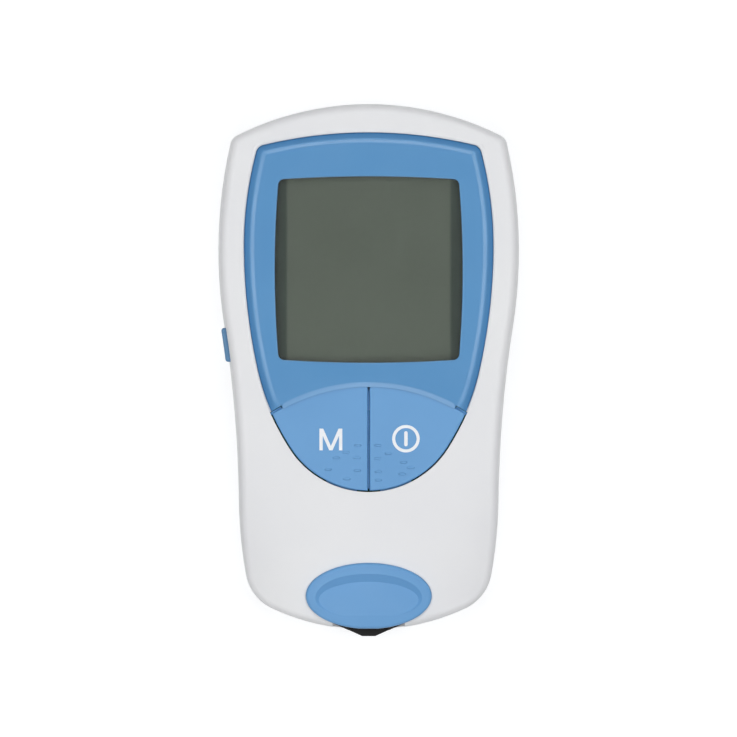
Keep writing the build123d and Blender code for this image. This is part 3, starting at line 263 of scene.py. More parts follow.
def makeFloor(look):
    half = look["floorHalf"]
    mesh = bpy.data.meshes.new("floor")
    form = bmesh.new()
    corners = [form.verts.new((x * half, y * half, 0.0)) for x, y in ((-1, -1), (1, -1), (1, 1), (-1, 1))]
    form.faces.new(corners)
    form.to_mesh(mesh)
    form.free()
    floor = bpy.data.objects.new("floor", mesh)
    bpy.context.scene.collection.objects.link(floor)
    finish, tree, shader, where = newFinish("floorPaper")
    patches = addNoise(tree, where, look["floorPatch"])
    tones = addRamp(tree, patches, list(zip(look["floorStops"], look["floorTones"])))
    tree.links.new(tones, shader.inputs["Base Color"])
    shader.inputs["Roughness"].default_value = look["floorRoughness"]
    shader.inputs["Specular IOR Level"].default_value = 0.0
    shader.inputs["Emission Color"].default_value = white
    glow = addMath(tree, "MULTIPLY", raySeen(tree), look["floorGlow"])
    tree.links.new(glow, shader.inputs["Emission Strength"])
    # clear from under it and for diffuse rays, which meet the sky below instead: the back can be looked at
    side = tree.nodes.new("ShaderNodeNewGeometry")
    path = tree.nodes.new("ShaderNodeLightPath")
    passed = addMath(tree, "MAXIMUM", side.outputs["Backfacing"], path.outputs["Is Diffuse Ray"])
    clear = tree.nodes.new("ShaderNodeBsdfTransparent")
    surface = mixSurfaces(tree, passed, shader.outputs["BSDF"], clear.outputs["BSDF"])
    tree.links.new(surface, tree.nodes["Material Output"].inputs["Surface"])
    mesh.materials.append(finish)
    floor.visible_shadow = False


makeWorld(studioLook)
makeLamps(studioLook)
makeFloor(studioLook)
print("studio set")


# housing: white shells with a fine spark-eroded grain
housingLook = {
    "tones": ((230, 231, 233), (227, 228, 231)),
    "patch": 0.03,
    "roughness": (0.40, 0.48),
    "grain": 0.00022,
    "depth": 0.000006,
}
housingWhite = mouldedFinish("housingWhite", housingLook)
dress(housingWhite, "front_housing", "rear_housing", "battery_door")

# bezel: one blue piece, a little glossier than the keys
bezelLook = {
    "tones": ((85, 146, 197), (82, 143, 195)),
    "patch": 0.025,
    "roughness": (0.28, 0.34),
    "grain": 0.0002,
    "depth": 0.000002,
    "coat": 0.1,
    "coatRoughness": 0.2,
}
bezelBlue = mouldedFinish("bezelBlue", bezelLook)
dress(bezelBlue, "display_bezel")

# SET button: a greyer blue than the bezel
buttonLook = {
    "tones": ((90, 138, 180), (86, 134, 176)),
    "patch": 0.01,
    "roughness": (0.36, 0.44),
    "grain": 0.0002,
    "depth": 0.000004,
}
buttonBlue = mouldedFinish("buttonBlue", buttonLook)
dress(buttonBlue, "set_button")

# keys and measuring chamber cover: soft matt blue
keyLook = {
    "tones": ((100, 157, 209), (97, 154, 206)),
    "patch": 0.02,
    "roughness": (0.42, 0.52),
    "grain": 0.00018,
    "depth": 0.000005,
}
keyBlue = mouldedFinish("keyBlue", keyLook)
dress(keyBlue, "key_m", "key_power", "chamber_cover")


# display bezel and the rolled edge of the housing round it: all values here in millimetres,
# insets and levels measured inwards or outwards from an outline
crownStations = (
    # along the case, height on the middle line, fall at the full half width
    (-20, 26.3, 2.6), (-14, 26.777, 1.9), (-8, 27.126, 1.36), (-2, 27.371, 0.975), (4, 27.53, 0.728),
    (12, 27.643, 0.565), (20, 27.675, 0.521), (28, 27.654, 0.523), (36, 27.595, 0.516), (44, 27.493, 0.472),
    (52, 27.325, 0.406), (60, 27.041, 0.377), (64, 26.834, 0.415),
)
caseHalfWidth = 39.0
crownDegree = 6  # of the curves through the stations
crownPower = 4  # the crown falls to the sides by this power of the width
bezelShape = {
    # outline: shoulder, side and hip arcs, the top arc and its corner
    "halfWidth": 32.12, "wideAt": 32.0, "shoulder": 95.7, "side": 146.3, "sideTurn": 12.8, "hip": 59.7,
    "topAt": 61.25, "top": 115.0, "corner": 2.4,
    # arc over the keys, with a lip between the two slits
    "arcCentre": -49.6, "arc": 46.3, "lipReach": 1.05, "slitFrom": 22.2,
    # heights over the crown, and the seat
    "stand": 0.29, "seat": 25.2, "lipUnder": 0.13,
    # section of the rim, and the facet along the arc
    "slope": 1.5, "slopeDrop": 1.6, "bevel": 1.05, "bevelDrop": 0.22,
    "arcFall": 1.25, "arcTilt": 0.25, "arcBlend": 0.22,
    # loops of the mesh: insets from the rim, then shares of the way to the opening
    "insets": (0.0, 0.08, 0.4, 0.75, 1.05, 1.25, 1.44, 1.58, 1.9, 2.2, 2.42, 2.65, 3.0),
    "spread": (0.15, 0.32, 0.5, 0.68, 0.85),
    "around": 720,
}
openingShape = {
    "centre": 25.9, "half": (23.2, 23.2), "bulge": (1.0, 0.8), "corner": 1.3,
    "edge": 0.3, "edgeShares": (0.7, 0.4, 0.15, 0.0), "paneTop": 26.75, "paneReach": 1.7,
}
mouthShape = {
    "halfWidth": 32.6, "wideAt": 28.35, "shoulder": 147.6, "side": 147.6, "sideTurn": 6.2, "hip": 76.7,
    "topAt": 62.3, "top": 101.5, "corner": 1.7,
    "reach": 0.09, "clear": 0.07, "roll": 0.32, "sunk": 0.01, "depth": 25.7, "steps": 7,
    "fromAngle": -54.0, "offArc": 0.1,
}

# ribs seen down the gap between the keys and down the slits at the ends of the arc
gapRib = {"halfWide": 0.15, "below": 1.5, "foot": 19.4, "from": -30.6, "pitch": 0.5, "spots": 52}
slitFloor = {
    "halfWide": 0.3, "below": 1.0, "foot": 25.2,
    "radius": 45.85, "from": 29.4, "turn": 4.6, "steps": 8,
}

# search and mesh care: steps outwards and halvings of a search, metres for welding, degrees for sharp edges
search = {"rimStart": 12.0, "openingStart": 2.0, "halvings": 22, "cornerHalvings": 40}
care = {"weld": 0.000002, "sliver": 0.000001, "sharp": 32}

stationAt, middleHeights, sideFalls = zip(*crownStations)
middleCurve = numpy.polyfit(stationAt, middleHeights, crownDegree)
sideCurve = numpy.polyfit(stationAt, sideFalls, crownDegree)


def crownAt(x, y):
    sideShare = (x / caseHalfWidth) ** crownPower
    return float(numpy.polyval(middleCurve, y) - numpy.polyval(sideCurve, y) * sideShare)


def topCorner(look):
    # middle of the rounded corner between the shoulder and the top, worked out once
    if "cornerAt" not in look:
        inner, low, high = look["shoulder"] - look["corner"], look["wideAt"], look["topAt"]
        for halving in range(search["cornerHalvings"]):
            y = (low + high) / 2
            x = look["halfWidth"] - look["shoulder"] + math.sqrt(inner ** 2 - (y - look["wideAt"]) ** 2)
            if math.hypot(x, y - look["topAt"] + look["top"]) < look["top"] - look["corner"]:
                low = y
            else:
                high = y
        look["cornerAt"] = (x, y)
    return look["cornerAt"]


def rimGap(x, y, look):
    # distance from the shield outline, negative inside it
    x = abs(x)
    cornerX, cornerY = topCorner(look)
    dx, dy = x - cornerX, y - cornerY
    sideWay = (cornerX - look["halfWidth"] + look["shoulder"], cornerY - look["wideAt"])
    topWay = (cornerX, cornerY - look["topAt"] + look["top"])
    if sideWay[0] * dy - sideWay[1] * dx > 0 and dx * topWay[1] - dy * topWay[0] > 0:
        return math.hypot(dx, dy) - look["corner"]
    centre, radius = (look["halfWidth"] - look["shoulder"], look["wideAt"]), look["shoulder"]
    if y < look["wideAt"]:
        centre, radius = (look["halfWidth"] - look["side"], look["wideAt"]), look["side"]
        turn = math.radians(look["sideTurn"])
        if math.atan2(look["wideAt"] - y, x - centre[0]) > turn:
            step = radius - look["hip"]
            centre = (centre[0] + step * math.cos(turn), centre[1] - step * math.sin(turn))
            radius = look["hip"]
    side = math.hypot(x - centre[0], y - centre[1]) - radius
    top = math.hypot(x, y - look["topAt"] + look["top"]) - look["top"]
    return max(side, top)


def arcGap(x, y, look):
    # distance from the arc over the keys, negative on the bezel's side
    reach = look["lipReach"] if abs(x) < look["slitFrom"] else 0.0
    return look["arc"] - reach - math.hypot(x, y - look["arcCentre"])


def bezelGap(x, y):
    return max(rimGap(x, y, bezelShape), arcGap(x, y, bezelShape))


def bulgedGap(along, across, reach, halfLength, bulge):
    # distance from one bulged side of the opening, whose two ends lie at the reach
    radius = (halfLength ** 2 + bulge ** 2) / (2 * bulge)
    return math.hypot(along - (reach + bulge) + radius, across) - radius


def openingGap(x, y):
    # distance from the barrel-shaped opening with its rounded corners, negative inside it
    look = openingShape
    x, y = abs(x), abs(y - look["centre"])
    (halfWidth, halfHeight), radius = look["half"], look["corner"]
    side = bulgedGap(x, y, halfWidth, halfHeight, look["bulge"][0]) + radius
    end = bulgedGap(y, x, halfHeight, halfWidth, look["bulge"][1]) + radius
    return min(max(side, end), 0) + math.hypot(max(side, 0), max(end, 0)) - radius


def rayTo(angle, gap, level, start=search["rimStart"]):
    # first point outwards from the middle of the opening where the gap reaches the level
    dx, dy = math.cos(angle), math.sin(angle)
    middle = openingShape["centre"]
    near = start
    while gap(dx * (near + 1), middle + dy * (near + 1)) < level:
        near += 1
    far = near + 1
    for halving in range(search["halvings"]):
        half = (near + far) / 2
        if gap(dx * half, middle + dy * half) < level:
            near = half
        else:
            far = half
    return dx * near, middle + dy * near


def openingRing(angles, level):
    return [rayTo(angle, openingGap, level, search["openingStart"]) for angle in angles]


def bezelTop(x, y):
    # height of the bezel: a steep slope at the rim, a narrow bevel, the plateau and the facet over the keys
    look = bezelShape
    rim, arc = -rimGap(x, y, look), -arcGap(x, y, look)
    drop = 0.0
    if rim < look["slope"]:
        drop = look["bevelDrop"] + look["slopeDrop"] * (1 - rim / look["slope"])
    elif rim < look["slope"] + look["bevel"]:
        drop = look["bevelDrop"] * (1 - (rim - look["slope"]) / look["bevel"])
    fall, blend = look["arcFall"] - arc, look["arcBlend"]
    if abs(x) < look["slitFrom"] and fall > -blend:
        drop = max(drop, look["arcTilt"] * (fall if fall > blend else (fall + blend) ** 2 / (4 * blend)))
    return crownAt(x, y) + look["stand"] - drop


def cleanMesh(form):
    bmesh.ops.remove_doubles(form, verts=form.verts, dist=care["weld"])
    bmesh.ops.dissolve_degenerate(form, edges=form.edges, dist=care["sliver"])


def placeForm(name, form, finish, smooth=False):
    for face in form.faces:
        face.smooth = smooth
    mesh = bpy.data.meshes.new(name)
    form.to_mesh(mesh)
    form.free()
    mesh.materials.append(finish)
    piece = bpy.data.objects.new(name, mesh)
    bpy.context.scene.collection.objects.link(piece)
    return piece


def ringMesh(name, loops, finish, closed=True):
    # skin from each loop to the next and from the last to the first; open loops get a flat face at both ends
    form = bmesh.new()
    rows = [[form.verts.new((x * mm, y * mm, z * mm)) for x, y, z in loop] for loop in loops]
    count = len(rows[0])
    for first, second in zip(rows, rows[1:] + rows[:1]):
        for step in range(count if closed else count - 1):
            after = (step + 1) % count
            form.faces.new((first[step], first[after], second[after], second[step]))
    if not closed:
        form.faces.new([row[0] for row in rows])
        form.faces.new([row[-1] for row in reversed(rows)])
    cleanMesh(form)
    bmesh.ops.recalc_face_normals(form, faces=form.faces)
    piece = placeForm(name, form, finish, smooth=True)
    piece.data.set_sharp_from_angle(angle=math.radians(care["sharp"]))
    return piece


def makeBezel(look, pane):
    angles = [2 * math.pi * step / look["around"] for step in range(look["around"])]
    loops = []
    for inset in look["insets"]:
        ring = [rayTo(angle, bezelGap, -inset) for angle in angles]
        loops.append([(x, y, bezelTop(x, y)) for x, y in ring])
    rim, lastInset = loops[0], loops[-1]
    edgeRing = openingRing(angles, pane["edge"])
    for share in look["spread"]:
        spots = [(x + (px - x) * share, y + (py - y) * share)
                 for (x, y, z), (px, py) in zip(lastInset, edgeRing)]
        loops.append([(x, y, bezelTop(x, y)) for x, y in spots])
    # rounded edge down to the opening, where the last share lies, then the sill over the window
    loops.append([(x, y, crownAt(x, y) + look["stand"]) for x, y in edgeRing])
    for share in pane["edgeShares"]:
        level = pane["edge"] * share
        drop = pane["edge"] - math.sqrt(pane["edge"] ** 2 - (pane["edge"] - level) ** 2)
        ring = openingRing(angles, level)
        loops.append([(x, y, crownAt(x, y) + look["stand"] - drop) for x, y in ring])
    loops.append([(x, y, pane["paneTop"]) for x, y in ring])
    paneRing = openingRing(angles, pane["paneReach"])
    loops.append([(x, y, pane["paneTop"]) for x, y in paneRing])
    loops.append([(x, y, look["seat"]) for x, y in paneRing])
    # underside: the lip over the keys is thin, the rest goes down to the seat
    foot, under, edge = [], [], []
    for x, y, z in rim:
        if arcGap(x, y, look) > rimGap(x, y, look) and abs(x) < look["slitFrom"]:
            grow = look["arc"] / math.hypot(x, y - look["arcCentre"])
            inner = (x * grow, look["arcCentre"] + (y - look["arcCentre"]) * grow)
            foot.append((*inner, look["seat"]))
            under.append((*inner, crownAt(*inner) - look["lipUnder"]))
            edge.append((x, y, crownAt(x, y) - look["lipUnder"]))
        else:
            for row in (foot, under, edge):
                row.append((x, y, look["seat"]))
    loops += [foot, under, edge]
    bezel = ringMesh("bezelShell", loops, bezelBlue)
    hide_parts("display_bezel")
    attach(bezel, "case")


def makeMouthEdge(look, inner):
    # thin rolled edge of the white housing that meets the bezel without a dark gap, open at the keys
    def mouthGap(x, y):
        return rimGap(x, y, look)

    def innerGap(x, y):
        return rimGap(x, y, inner)

    low = math.radians(look["fromAngle"])
    turns = [low + (math.pi - 2 * low) * step / inner["around"] for step in range(inner["around"] + 1)]
    turns = [turn for turn in turns if arcGap(*rayTo(turn, mouthGap, 0.0), inner) < -look["offArc"]]
    outers = [rayTo(turn, mouthGap, look["reach"]) for turn in turns]
    inners = [rayTo(turn, innerGap, look["clear"]) for turn in turns]
    loops = []
    for step in range(look["steps"]):
        share = step / (look["steps"] - 1)
        loops.append([])
        for (ox, oy), (ix, iy) in zip(outers, inners):
            x, y = ox + (ix - ox) * share, oy + (iy - oy) * share
            loops[-1].append((x, y, crownAt(x, y) - look["sunk"] - look["roll"] * share ** 2))
    loops.append([(x, y, look["depth"]) for x, y in inners])
    loops.append([(x, y, look["depth"]) for x, y in outers])
    edge = ringMesh("mouthEdge", loops, housingWhite, closed=False)
    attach(edge, "case")


def makeBar(name, spots, look, finish):
    # bar along a line of spots, its top a set depth below the crown and its foot flat
    rows = [[], [], [], []]
    for step, (x, y) in enumerate(spots):
        ahead, behind = spots[min(step + 1, len(spots) - 1)], spots[max(step - 1, 0)]
        along = Vector((ahead[0] - behind[0], ahead[1] - behind[1])).normalized() * look["halfWide"]
        left = (x - along.y, y + along.x)
        right = (x + along.y, y - along.x)
        rows[0].append((*left, look["foot"]))
        rows[1].append((*left, crownAt(*left) - look["below"]))
        rows[2].append((*right, crownAt(*right) - look["below"]))
        rows[3].append((*right, look["foot"]))
    bar = ringMesh(name, rows, finish, closed=False)
    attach(bar, "case")


def makeGapRib(look):
    spots = [(0.0, look["from"] + look["pitch"] * step) for step in range(look["spots"])]
    makeBar("gapRib", spots, look, keyBlue)


def makeSlitFloors(look, centre):
    steps = look["steps"]
    turns = [math.radians(look["from"] + look["turn"] * step / steps) for step in range(steps + 1)]
    for side, name in ((-1, "slitFloorLeft"), (1, "slitFloorRight")):
        spots = [(side * look["radius"] * math.sin(turn), centre + look["radius"] * math.cos(turn))
                 for turn in turns]
        makeBar(name, spots, look, bezelBlue)


makeBezel(bezelShape, openingShape)
makeMouthEdge(mouthShape, bezelShape)
makeGapRib(gapRib)
makeSlitFloors(slitFloor, bezelShape["arcCentre"])
print("bezel and housing mouth made")


# display window: clear pane with faint wipe marks, lets the lamps through
windowLook = {
    "tint": (0.97, 0.985, 0.975, 1.0),
    "index": 1.49,
    "specular": 0.4,
    "roughness": (0.0, 0.05),
    "wipe": 0.006,
    "wipeFrom": (0.45, 0.8),
    "wipeStretch": (1.0, 6.0, 1.0),
    "scratch": 0.0006,
    "scratchStretch": (1.0, 12.0, 1.0),
    "scratchDepth": 0.0000008,
}


def clearFinish(name, look):
    finish, tree, shader, where = newFinish(name)
    shader.inputs["Base Color"].default_value = look["tint"]
    shader.inputs["Transmission Weight"].default_value = 1.0
    shader.inputs["IOR"].default_value = look["index"]
    shader.inputs["Specular IOR Level"].default_value = look["specular"]
    wipe = addNoise(tree, where, look["wipe"], 4.0, look["wipeStretch"])
    haze = addRange(tree, wipe, *look["roughness"], *look["wipeFrom"])
    tree.links.new(haze, shader.inputs["Roughness"])
    scratch = addNoise(tree, where, look["scratch"], 3.0, look["scratchStretch"])
    addBump(tree, shader, scratch, look["scratchDepth"])
    path = tree.nodes.new("ShaderNodeLightPath")
    clear = tree.nodes.new("ShaderNodeBsdfTransparent")
    clear.inputs["Color"].default_value = look["tint"]
    surface = mixSurfaces(tree, path.outputs["Is Shadow Ray"], shader.outputs["BSDF"], clear.outputs["BSDF"])
    tree.links.new(surface, tree.nodes["Material Output"].inputs["Surface"])
    return finish


windowClear = clearFinish("windowClear", windowLook)
dress(windowClear, "display_window")

# LCD glass: grey-green when it shows nothing, darker outside the segment field at both sides
lcdLook = {
    "field": ((66, 72, 64), (63, 69, 61)),
    "edge": (33, 43, 38),
    "fieldHalf": 0.0211,
    "soften": 0.0004,
    "cloud": 0.02,
    "sheen": 0.004,
    "roughness": (0.28, 0.36),
    "specular": 0.2,
    "depth": 0.000001,
}


def lcdFinish(name, look):
    finish, tree, shader, where = newFinish(name)
    field = addTones(tree, addNoise(tree, where, look["cloud"]), look["field"])
    across = addMath(tree, "ABSOLUTE", addAxis(tree, where, "X"))
    half = look["fieldHalf"]
    edge = addRange(tree, across, 0.0, 1.0, half - look["soften"], half + look["soften"])
    mix = tree.nodes.new("ShaderNodeMix")
    mix.data_type = "RGBA"
    tree.links.new(edge, mix.inputs["Factor"])
    tree.links.new(field, mix.inputs[6])
    mix.inputs[7].default_value = paint(look["edge"])
    tree.links.new(mix.outputs[2], shader.inputs["Base Color"])
    sheen = addNoise(tree, where, look["sheen"], 3.0)
    tree.links.new(addRange(tree, sheen, *look["roughness"]), shader.inputs["Roughness"])
    shader.inputs["Specular IOR Level"].default_value = look["specular"]
    addBump(tree, shader, sheen, look["depth"])
    return finish


lcdGrey = lcdFinish("lcdGrey", lcdLook)
dress(lcdGrey, "lcd_glass")
print("housing, bezel, keys and display finished")


# soft seal: foam gasket round the window
sealLook = {
    "tones": ((44, 45, 47), (36, 37, 39)),
    "patch": 0.004,
    "roughness": (0.75, 0.9),
    "grain": 0.0004,
    "depth": 0.00003,
}
sealDark = mouldedFinish("sealDark", sealLook)
dress(sealDark, "display_gasket")

# stripes along X, each half of the pitch its own tone: zebra layers and the runs of the flex
def addStripes(tree, where, pitch):
    along = addMath(tree, "MULTIPLY", addAxis(tree, where, "X"), 1 / pitch)
    return addMath(tree, "PINGPONG", along, 0.5)


zebraLook = {
    "dark": (52, 54, 56),
    "pale": (150, 120, 132),
    "stops": (0.2, 0.3),
    "pitch": 0.0005,
    "patch": 0.002,
    "roughness": (0.55, 0.75),
    "depth": 0.00001,
}


def zebraFinish(name, look):
    finish, tree, shader, where = newFinish(name)
    layer = addStripes(tree, where, look["pitch"])
    core = addRamp(tree, layer, list(zip(look["stops"], (look["dark"], look["pale"]))))
    tree.links.new(core, shader.inputs["Base Color"])
    soft = addNoise(tree, where, look["patch"], 3.0)
    tree.links.new(addRange(tree, soft, *look["roughness"]), shader.inputs["Roughness"])
    addBump(tree, shader, soft, look["depth"])
    return finish


zebraLayers = zebraFinish("zebraLayers", zebraLook)
dress(zebraLayers, "zebra_strips")

# inner frame, switches and sockets: engineering plastics
innerLook = {
    "tones": ((205, 203, 196), (198, 196, 188)),
    "patch": 0.01,
    "roughness": (0.5, 0.62),
    "grain": 0.0003,
    "depth": 0.00001,
}
innerPlastic = mouldedFinish("innerPlastic", innerLook)
dress(innerPlastic, "lcd_frame", "measuring_block")

plungerLook = {
    "tones": ((60, 61, 64), (52, 53, 56)),
    "patch": 0.002,
    "roughness": (0.4, 0.55),
    "grain": 0.0002,
    "depth": 0.000006,
}
plungerPlastic = mouldedFinish("plungerPlastic", plungerLook)
dress(plungerPlastic, "plunger_m", "plunger_power", "plunger_set", "buzzer", "key_switches", "set_switch")

connectorLook = {
    "tones": ((233, 227, 209), (226, 219, 199)),
    "patch": 0.003,
    "roughness": (0.45, 0.6),
    "grain": 0.00025,
    "depth": 0.000008,
}
connectorIvory = mouldedFinish("connectorIvory", connectorLook)
dress(connectorIvory, "flex_connector", "code_chip_socket")

guideLook = {
    "tones": ((12, 12, 13), (9, 9, 10)),
    "patch": 0.004,
    "specular": 0.25,
    "roughness": (0.34, 0.46),
    "grain": 0.0002,
    "depth": 0.000008,
}
guideBlack = mouldedFinish("guideBlack", guideLook)
dress(guideBlack, "strip_guide")

footLook = {
    "tones": ((128, 129, 131), (116, 117, 119)),
    "patch": 0.003,
    "roughness": (0.78, 0.92),
    "grain": 0.0003,
    "depth": 0.00002,
}
footRubber = mouldedFinish("footRubber", footLook)
dress(footRubber, "rubber_feet")

screwLook = {
    "tones": ((150, 151, 154), (122, 123, 127)),
    "patch": 0.0012,
    "roughness": (0.26, 0.42),
    "grain": 0.00015,
    "depth": 0.000006,
    "metal": 1.0,
}
screwSteel = mouldedFinish("screwSteel", screwLook)
dress(screwSteel, "housing_screws")

springLook = {
    "tones": ((196, 196, 192), (172, 172, 168)),
    "patch": 0.003,
    "roughness": (0.2, 0.36),
    "grain": 0.0002,
    "depth": 0.000004,
    "metal": 1.0,
    "stretch": (1.0, 1.0, 6.0),
}
springNickel = mouldedFinish("springNickel", springLook)
dress(springNickel, "battery_springs", "battery_plates")

contactLook = {
    "tones": ((226, 184, 102), (212, 166, 84)),
    "patch": 0.001,
    "roughness": (0.18, 0.3),
    "grain": 0.00008,
    "depth": 0.000002,
    "metal": 1.0,
    "stretch": (6.0, 1.0, 1.0),
}
contactGold = mouldedFinish("contactGold", contactLook)
dress(contactGold, "strip_contacts", "code_chip_contacts")

heaterLook = {
    "tones": ((232, 230, 224), (222, 219, 211)),
    "patch": 0.0015,
    "roughness": (0.5, 0.65),
    "grain": 0.00006,
    "depth": 0.000004,
}
heaterCeramic = mouldedFinish("heaterCeramic", heaterLook)
dress(heaterCeramic, "heater_plate")

tintedLook = {
    "tones": ((34, 10, 16), (26, 8, 13)),
    "patch": 0.004,
    "roughness": (0.16, 0.24),
    "grain": 0.0006,
    "depth": 0.000002,
    "coat": 0.3,
    "coatRoughness": 0.15,
}
tintedRed = mouldedFinish("tintedRed", tintedLook)
dress(tintedRed, "ir_window", "ir_transceiver")
print("small parts finished")


# main board: green solder mask with faint copper tracks
boardLook = {
    "tones": ((38, 118, 76), (24, 92, 58), (15, 70, 44)),
    "stops": (0.03, 0.05, 0.12),
    "cell": 0.004,
    "spacing": 0.12,
    "patch": 0.004,
    "roughness": (0.22, 0.34),
    "depth": 0.00003,
}


def boardFinish(name, look):
    finish, tree, shader, where = newFinish(name)
    cells = tree.nodes.new("ShaderNodeTexVoronoi")
    cells.distance = "CHEBYCHEV"
    cells.inputs["Scale"].default_value = 1 / look["cell"]
    tree.links.new(where, cells.inputs["Vector"])
    # tracks run where the distance folds back, then solder mask, then the darker ground
    lines = addMath(tree, "PINGPONG", cells.outputs["Distance"], look["spacing"])
    tracks = addRamp(tree, lines, list(zip(look["stops"], look["tones"])))
    tree.links.new(tracks, shader.inputs["Base Color"])
    shine = addNoise(tree, where, look["patch"], 3.0)
    tree.links.new(addRange(tree, shine, *look["roughness"]), shader.inputs["Roughness"])
    addBump(tree, shader, lines, look["depth"])
    return finish


boardGreen = boardFinish("boardGreen", boardLook)
dress(boardGreen, "main_board")

chipLook = {
    "tones": ((38, 39, 42), (30, 31, 34)),
    "patch": 0.0015,
    "roughness": (0.55, 0.7),
    "grain": 0.00008,
    "depth": 0.000006,
}
chipEpoxy = mouldedFinish("chipEpoxy", chipLook)
dress(chipEpoxy, "board_chips")

# flat flex: amber film over copper runs
flexLook = {
    "film": (176, 104, 36),
    "copper": (214, 150, 84),
    "stops": (0.22, 0.28),
    "pitch": 0.001,
    "patch": 0.003,
    "roughness": (0.25, 0.4),
    "depth": 0.00003,
}


def flexFinish(name, look):
    finish, tree, shader, where = newFinish(name)
    runs = addStripes(tree, where, look["pitch"])
    film = addRamp(tree, runs, list(zip(look["stops"], (look["film"], look["copper"]))))
    tree.links.new(film, shader.inputs["Base Color"])
    crease = addNoise(tree, where, look["patch"], 3.0)
    tree.links.new(addRange(tree, crease, *look["roughness"]), shader.inputs["Roughness"])
    addBump(tree, shader, runs, look["depth"])
    return finish


flexAmber = flexFinish("flexAmber", flexLook)
dress(flexAmber, "sensor_flex")

# cells: printed foil sleeve with a copper-coloured shoulder band, steel ends
cellLook = {
    "sleeve": (36, 38, 42),
    "band": (190, 120, 66),
    "steel": (200, 200, 198),
    "bandLength": 0.0105,
    "endLength": 0.0014,
    "blur": 0.004,
    "scuff": 0.003,
    "roughness": (0.22, 0.38),
    "metal": 0.7,
    "depth": 0.000006,
}


def cellFinish(name, look, node, plusUp):
    finish, tree, shader, where = newFinish(name)
    low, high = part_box(node)
    along = addAxis(tree, where, "Y")
    start, end = (high.y, low.y) if plusUp else (low.y, high.y)
    share = addRange(tree, along, 0.0, 1.0, start, end)
    length = high.y - low.y
    band = look["bandLength"] / length
    cap = look["endLength"] / length
    rear = 1 - cap * 0.5
    stops = [
        (0.0, look["steel"]),
        (cap, look["steel"]),
        (cap + look["blur"], look["band"]),
        (band, look["band"]),
        (band + look["blur"], look["sleeve"]),
        (rear, look["sleeve"]),
        (rear + look["blur"], look["steel"]),
    ]
    tones = addRamp(tree, share, stops)
    tree.links.new(tones, shader.inputs["Base Color"])
    scuff = addNoise(tree, where, look["scuff"], 4.0)
    tree.links.new(addRange(tree, scuff, *look["roughness"]), shader.inputs["Roughness"])
    shader.inputs["Metallic"].default_value = look["metal"]
    addBump(tree, shader, scuff, look["depth"])
    return finish


for index, node in enumerate(("cell_1", "cell_2", "cell_3", "cell_4")):
    dress(cellFinish("cellSleeve" + str(index + 1), cellLook, node, index % 2 == 0), node)
print("board and cells finished")


# marks on the keys follow the crown of the key they sit on
rayHeight = 0.1  # metres, well above the meter


def surfaceOf(name):
    form = bmesh.new()
    form.from_mesh(parts[name].data)
    tree = BVHTree.FromBMesh(form)
    form.free()
    return tree


def settle(form, surface, lift):
    # each corner drops on the key below it; its own height stays as a stand above that
    for vert in form.verts:
        hit = surface.ray_cast(Vector((vert.co.x, vert.co.y, rayHeight)), Vector((0, 0, -1)))[0]
        vert.co.z = hit.z + vert.co.z + lift


def cutFine(form, low, high, step):
    # thin cuts both ways, so that a flat mark can follow a curved top
    for axis in (0, 1):
        at = low[axis] + step
        while at < high[axis]:
            point = Vector((0, 0, 0))
            point[axis] = at
            normal = Vector((0, 0, 0))
            normal[axis] = 1
            geometry = list(form.verts) + list(form.edges) + list(form.faces)
            bmesh.ops.bisect_plane(form, geom=geometry, plane_co=point, plane_no=normal)
            at += step


def makeMark(name, outlines, surface, body, finish, look):
    form = bmesh.new()
    for outline in outlines:
        form.faces.new([form.verts.new((x * mm, y * mm, 0)) for x, y in outline])
    bmesh.ops.remove_doubles(form, verts=form.verts, dist=care["weld"])
    bmesh.ops.triangulate(form, faces=list(form.faces))
    spots = [point for outline in outlines for point in outline]
    low = [min(spot[axis] for spot in spots) * mm for axis in (0, 1)]
    high = [max(spot[axis] for spot in spots) * mm for axis in (0, 1)]
    cutFine(form, low, high, look["step"])
    cleanMesh(form)
    settle(form, surface, look["lift"])
    mark = placeForm(name, form, finish)
    film = mark.modifiers.new("film", "SOLIDIFY")
    film.thickness = look["film"]
    film.offset = 1.0
    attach(mark, body)


legendLook = {
    "tones": ((240, 243, 246), (235, 239, 243)),
    "patch": 0.002,
    "roughness": (0.4, 0.5),
    "grain": 0.0001,
    "depth": 0.000003,
    "step": 0.0007,
    "lift": 0.00001,
    "film": 0.00003,
    "letterAt": (-9.75, -17.9),
    "letterSize": (5.9, 5.6),
    "stroke": 0.85,
    "slant": 1.15,
    "notch": 1.9,
    "ringAt": (9.6, -17.7),
    "ringOuter": 3.55,
    "ringStroke": 0.8,
    "ringSteps": 48,
    "barSize": (0.9, 3.9),
    "barSteps": 8,
}
legendWhite = mouldedFinish("legendWhite", legendLook)


def letterOutline(look):
    # capital M with upright legs and a middle that comes down to the base line
    x, y = look["letterAt"]
    halfWidth, halfHeight = look["letterSize"][0] / 2, look["letterSize"][1] / 2
    stroke = look["stroke"]
    slant = stroke * look["slant"]
    right = [
        (0, -halfHeight + slant * look["slant"]),
        (halfWidth - slant, halfHeight),
        (halfWidth, halfHeight),
        (halfWidth, -halfHeight),
        (halfWidth - stroke, -halfHeight),
        (halfWidth - stroke, halfHeight - slant * look["notch"]),
        (stroke * 0.5, -halfHeight),
    ]
    left = [(-px, py) for px, py in reversed(right[1:])]
    return [(x + px, y + py) for px, py in right + left]


def ringPieces(centre, outer, stroke, count):
    pieces = []
    for index in range(count):
        first, second = (2 * math.pi * step / count for step in (index, index + 1))
        inner = outer - stroke
        pieces.append([
            (centre[0] + radius * math.cos(turn), centre[1] + radius * math.sin(turn))
            for radius, turn in ((inner, first), (outer, first), (outer, second), (inner, second))
        ])
    return pieces


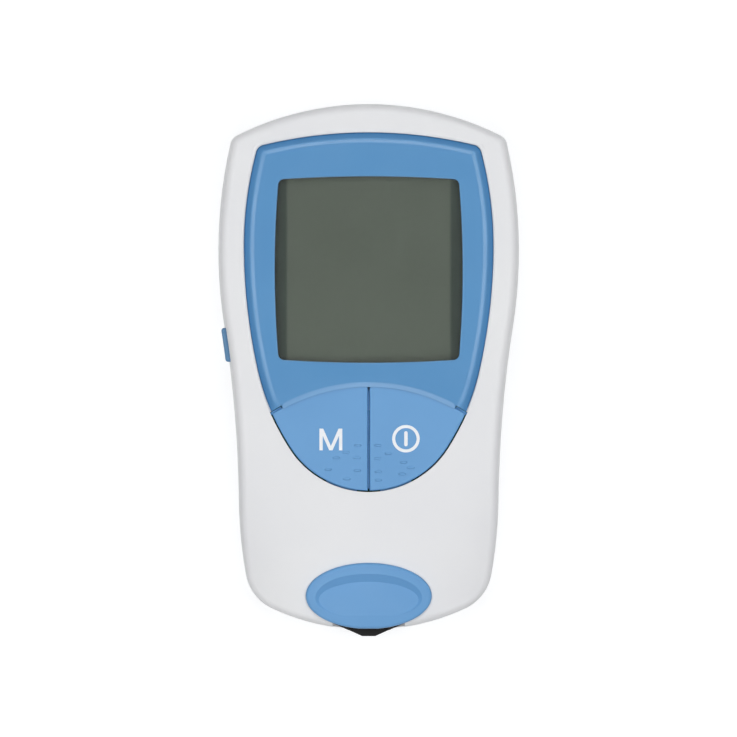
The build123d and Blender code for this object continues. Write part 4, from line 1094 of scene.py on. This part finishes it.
def pillOutline(centre, size, count):
    radius = size[0] / 2
    straight = size[1] / 2 - radius
    outline = []
    for end, start in ((1, 0.0), (-1, math.pi)):
        for index in range(count + 1):
            turn = start + math.pi * index / count
            x = centre[0] + radius * math.cos(turn)
            y = centre[1] + end * straight + radius * math.sin(turn)
            outline.append((x, y))
    return outline


def powerOutlines(look):
    # ring with an upright bar inside it
    outlines = ringPieces(look["ringAt"], look["ringOuter"], look["ringStroke"], look["ringSteps"])
    return outlines + [pillOutline(look["ringAt"], look["barSize"], look["barSteps"])]


memoryTop = surfaceOf("key_m")
powerTop = surfaceOf("key_power")
makeMark("memoryLegend", [letterOutline(legendLook)], memoryTop, "key_m", legendWhite, legendLook)
makeMark("powerLegend", powerOutlines(legendLook), powerTop, "key_power", legendWhite, legendLook)


# low grip ridges beside the gap between the keys
ridgeLook = {
    "length": 1.9,
    "width": 0.75,
    "height": 0.00012,
    "around": 20,
    "rings": 4,
    "left": [
        (-2.8, -19.4), (-5.9, -21.2), (-8.3, -22.6), (-3.0, -22.6),
        (-2.9, -25.9), (-5.6, -28.1), (-10.4, -25.6),
    ],
    "right": [
        (2.4, -19.4), (5.1, -21.5), (2.3, -22.8), (9.0, -23.8),
        (10.9, -25.2), (2.5, -26.2), (2.5, -28.4), (8.6, -26.8),
    ],
}


def makeRidges(name, spots, surface, body, look):
    # each ridge is a low oval dome with a flat foot
    form = bmesh.new()
    around, rings = look["around"], look["rings"]
    for x, y in spots:
        loops = []
        for ring in range(rings):
            grow = 1 - ring / rings
            rise = look["height"] * (1 - grow ** 2)
            loops.append([
                form.verts.new((
                    (x + look["length"] / 2 * grow * math.cos(2 * math.pi * step / around)) * mm,
                    (y + look["width"] / 2 * grow * math.sin(2 * math.pi * step / around)) * mm,
                    rise,
                ))
                for step in range(around)
            ])
        for outer, inner in zip(loops, loops[1:]):
            for step in range(around):
                after = (step + 1) % around
                form.faces.new((outer[step], outer[after], inner[after], inner[step]))
        form.faces.new(loops[-1])
        form.faces.new(loops[0][::-1])
    settle(form, surface, 0.0)
    ridges = placeForm(name, form, keyBlue, smooth=True)
    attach(ridges, body)


makeRidges("memoryRidges", ridgeLook["left"], memoryTop, "key_m", ridgeLook)
makeRidges("powerRidges", ridgeLook["right"], powerTop, "key_power", ridgeLook)
print("key marks set")


bpy.context.scene.view_settings.view_transform = "Standard"
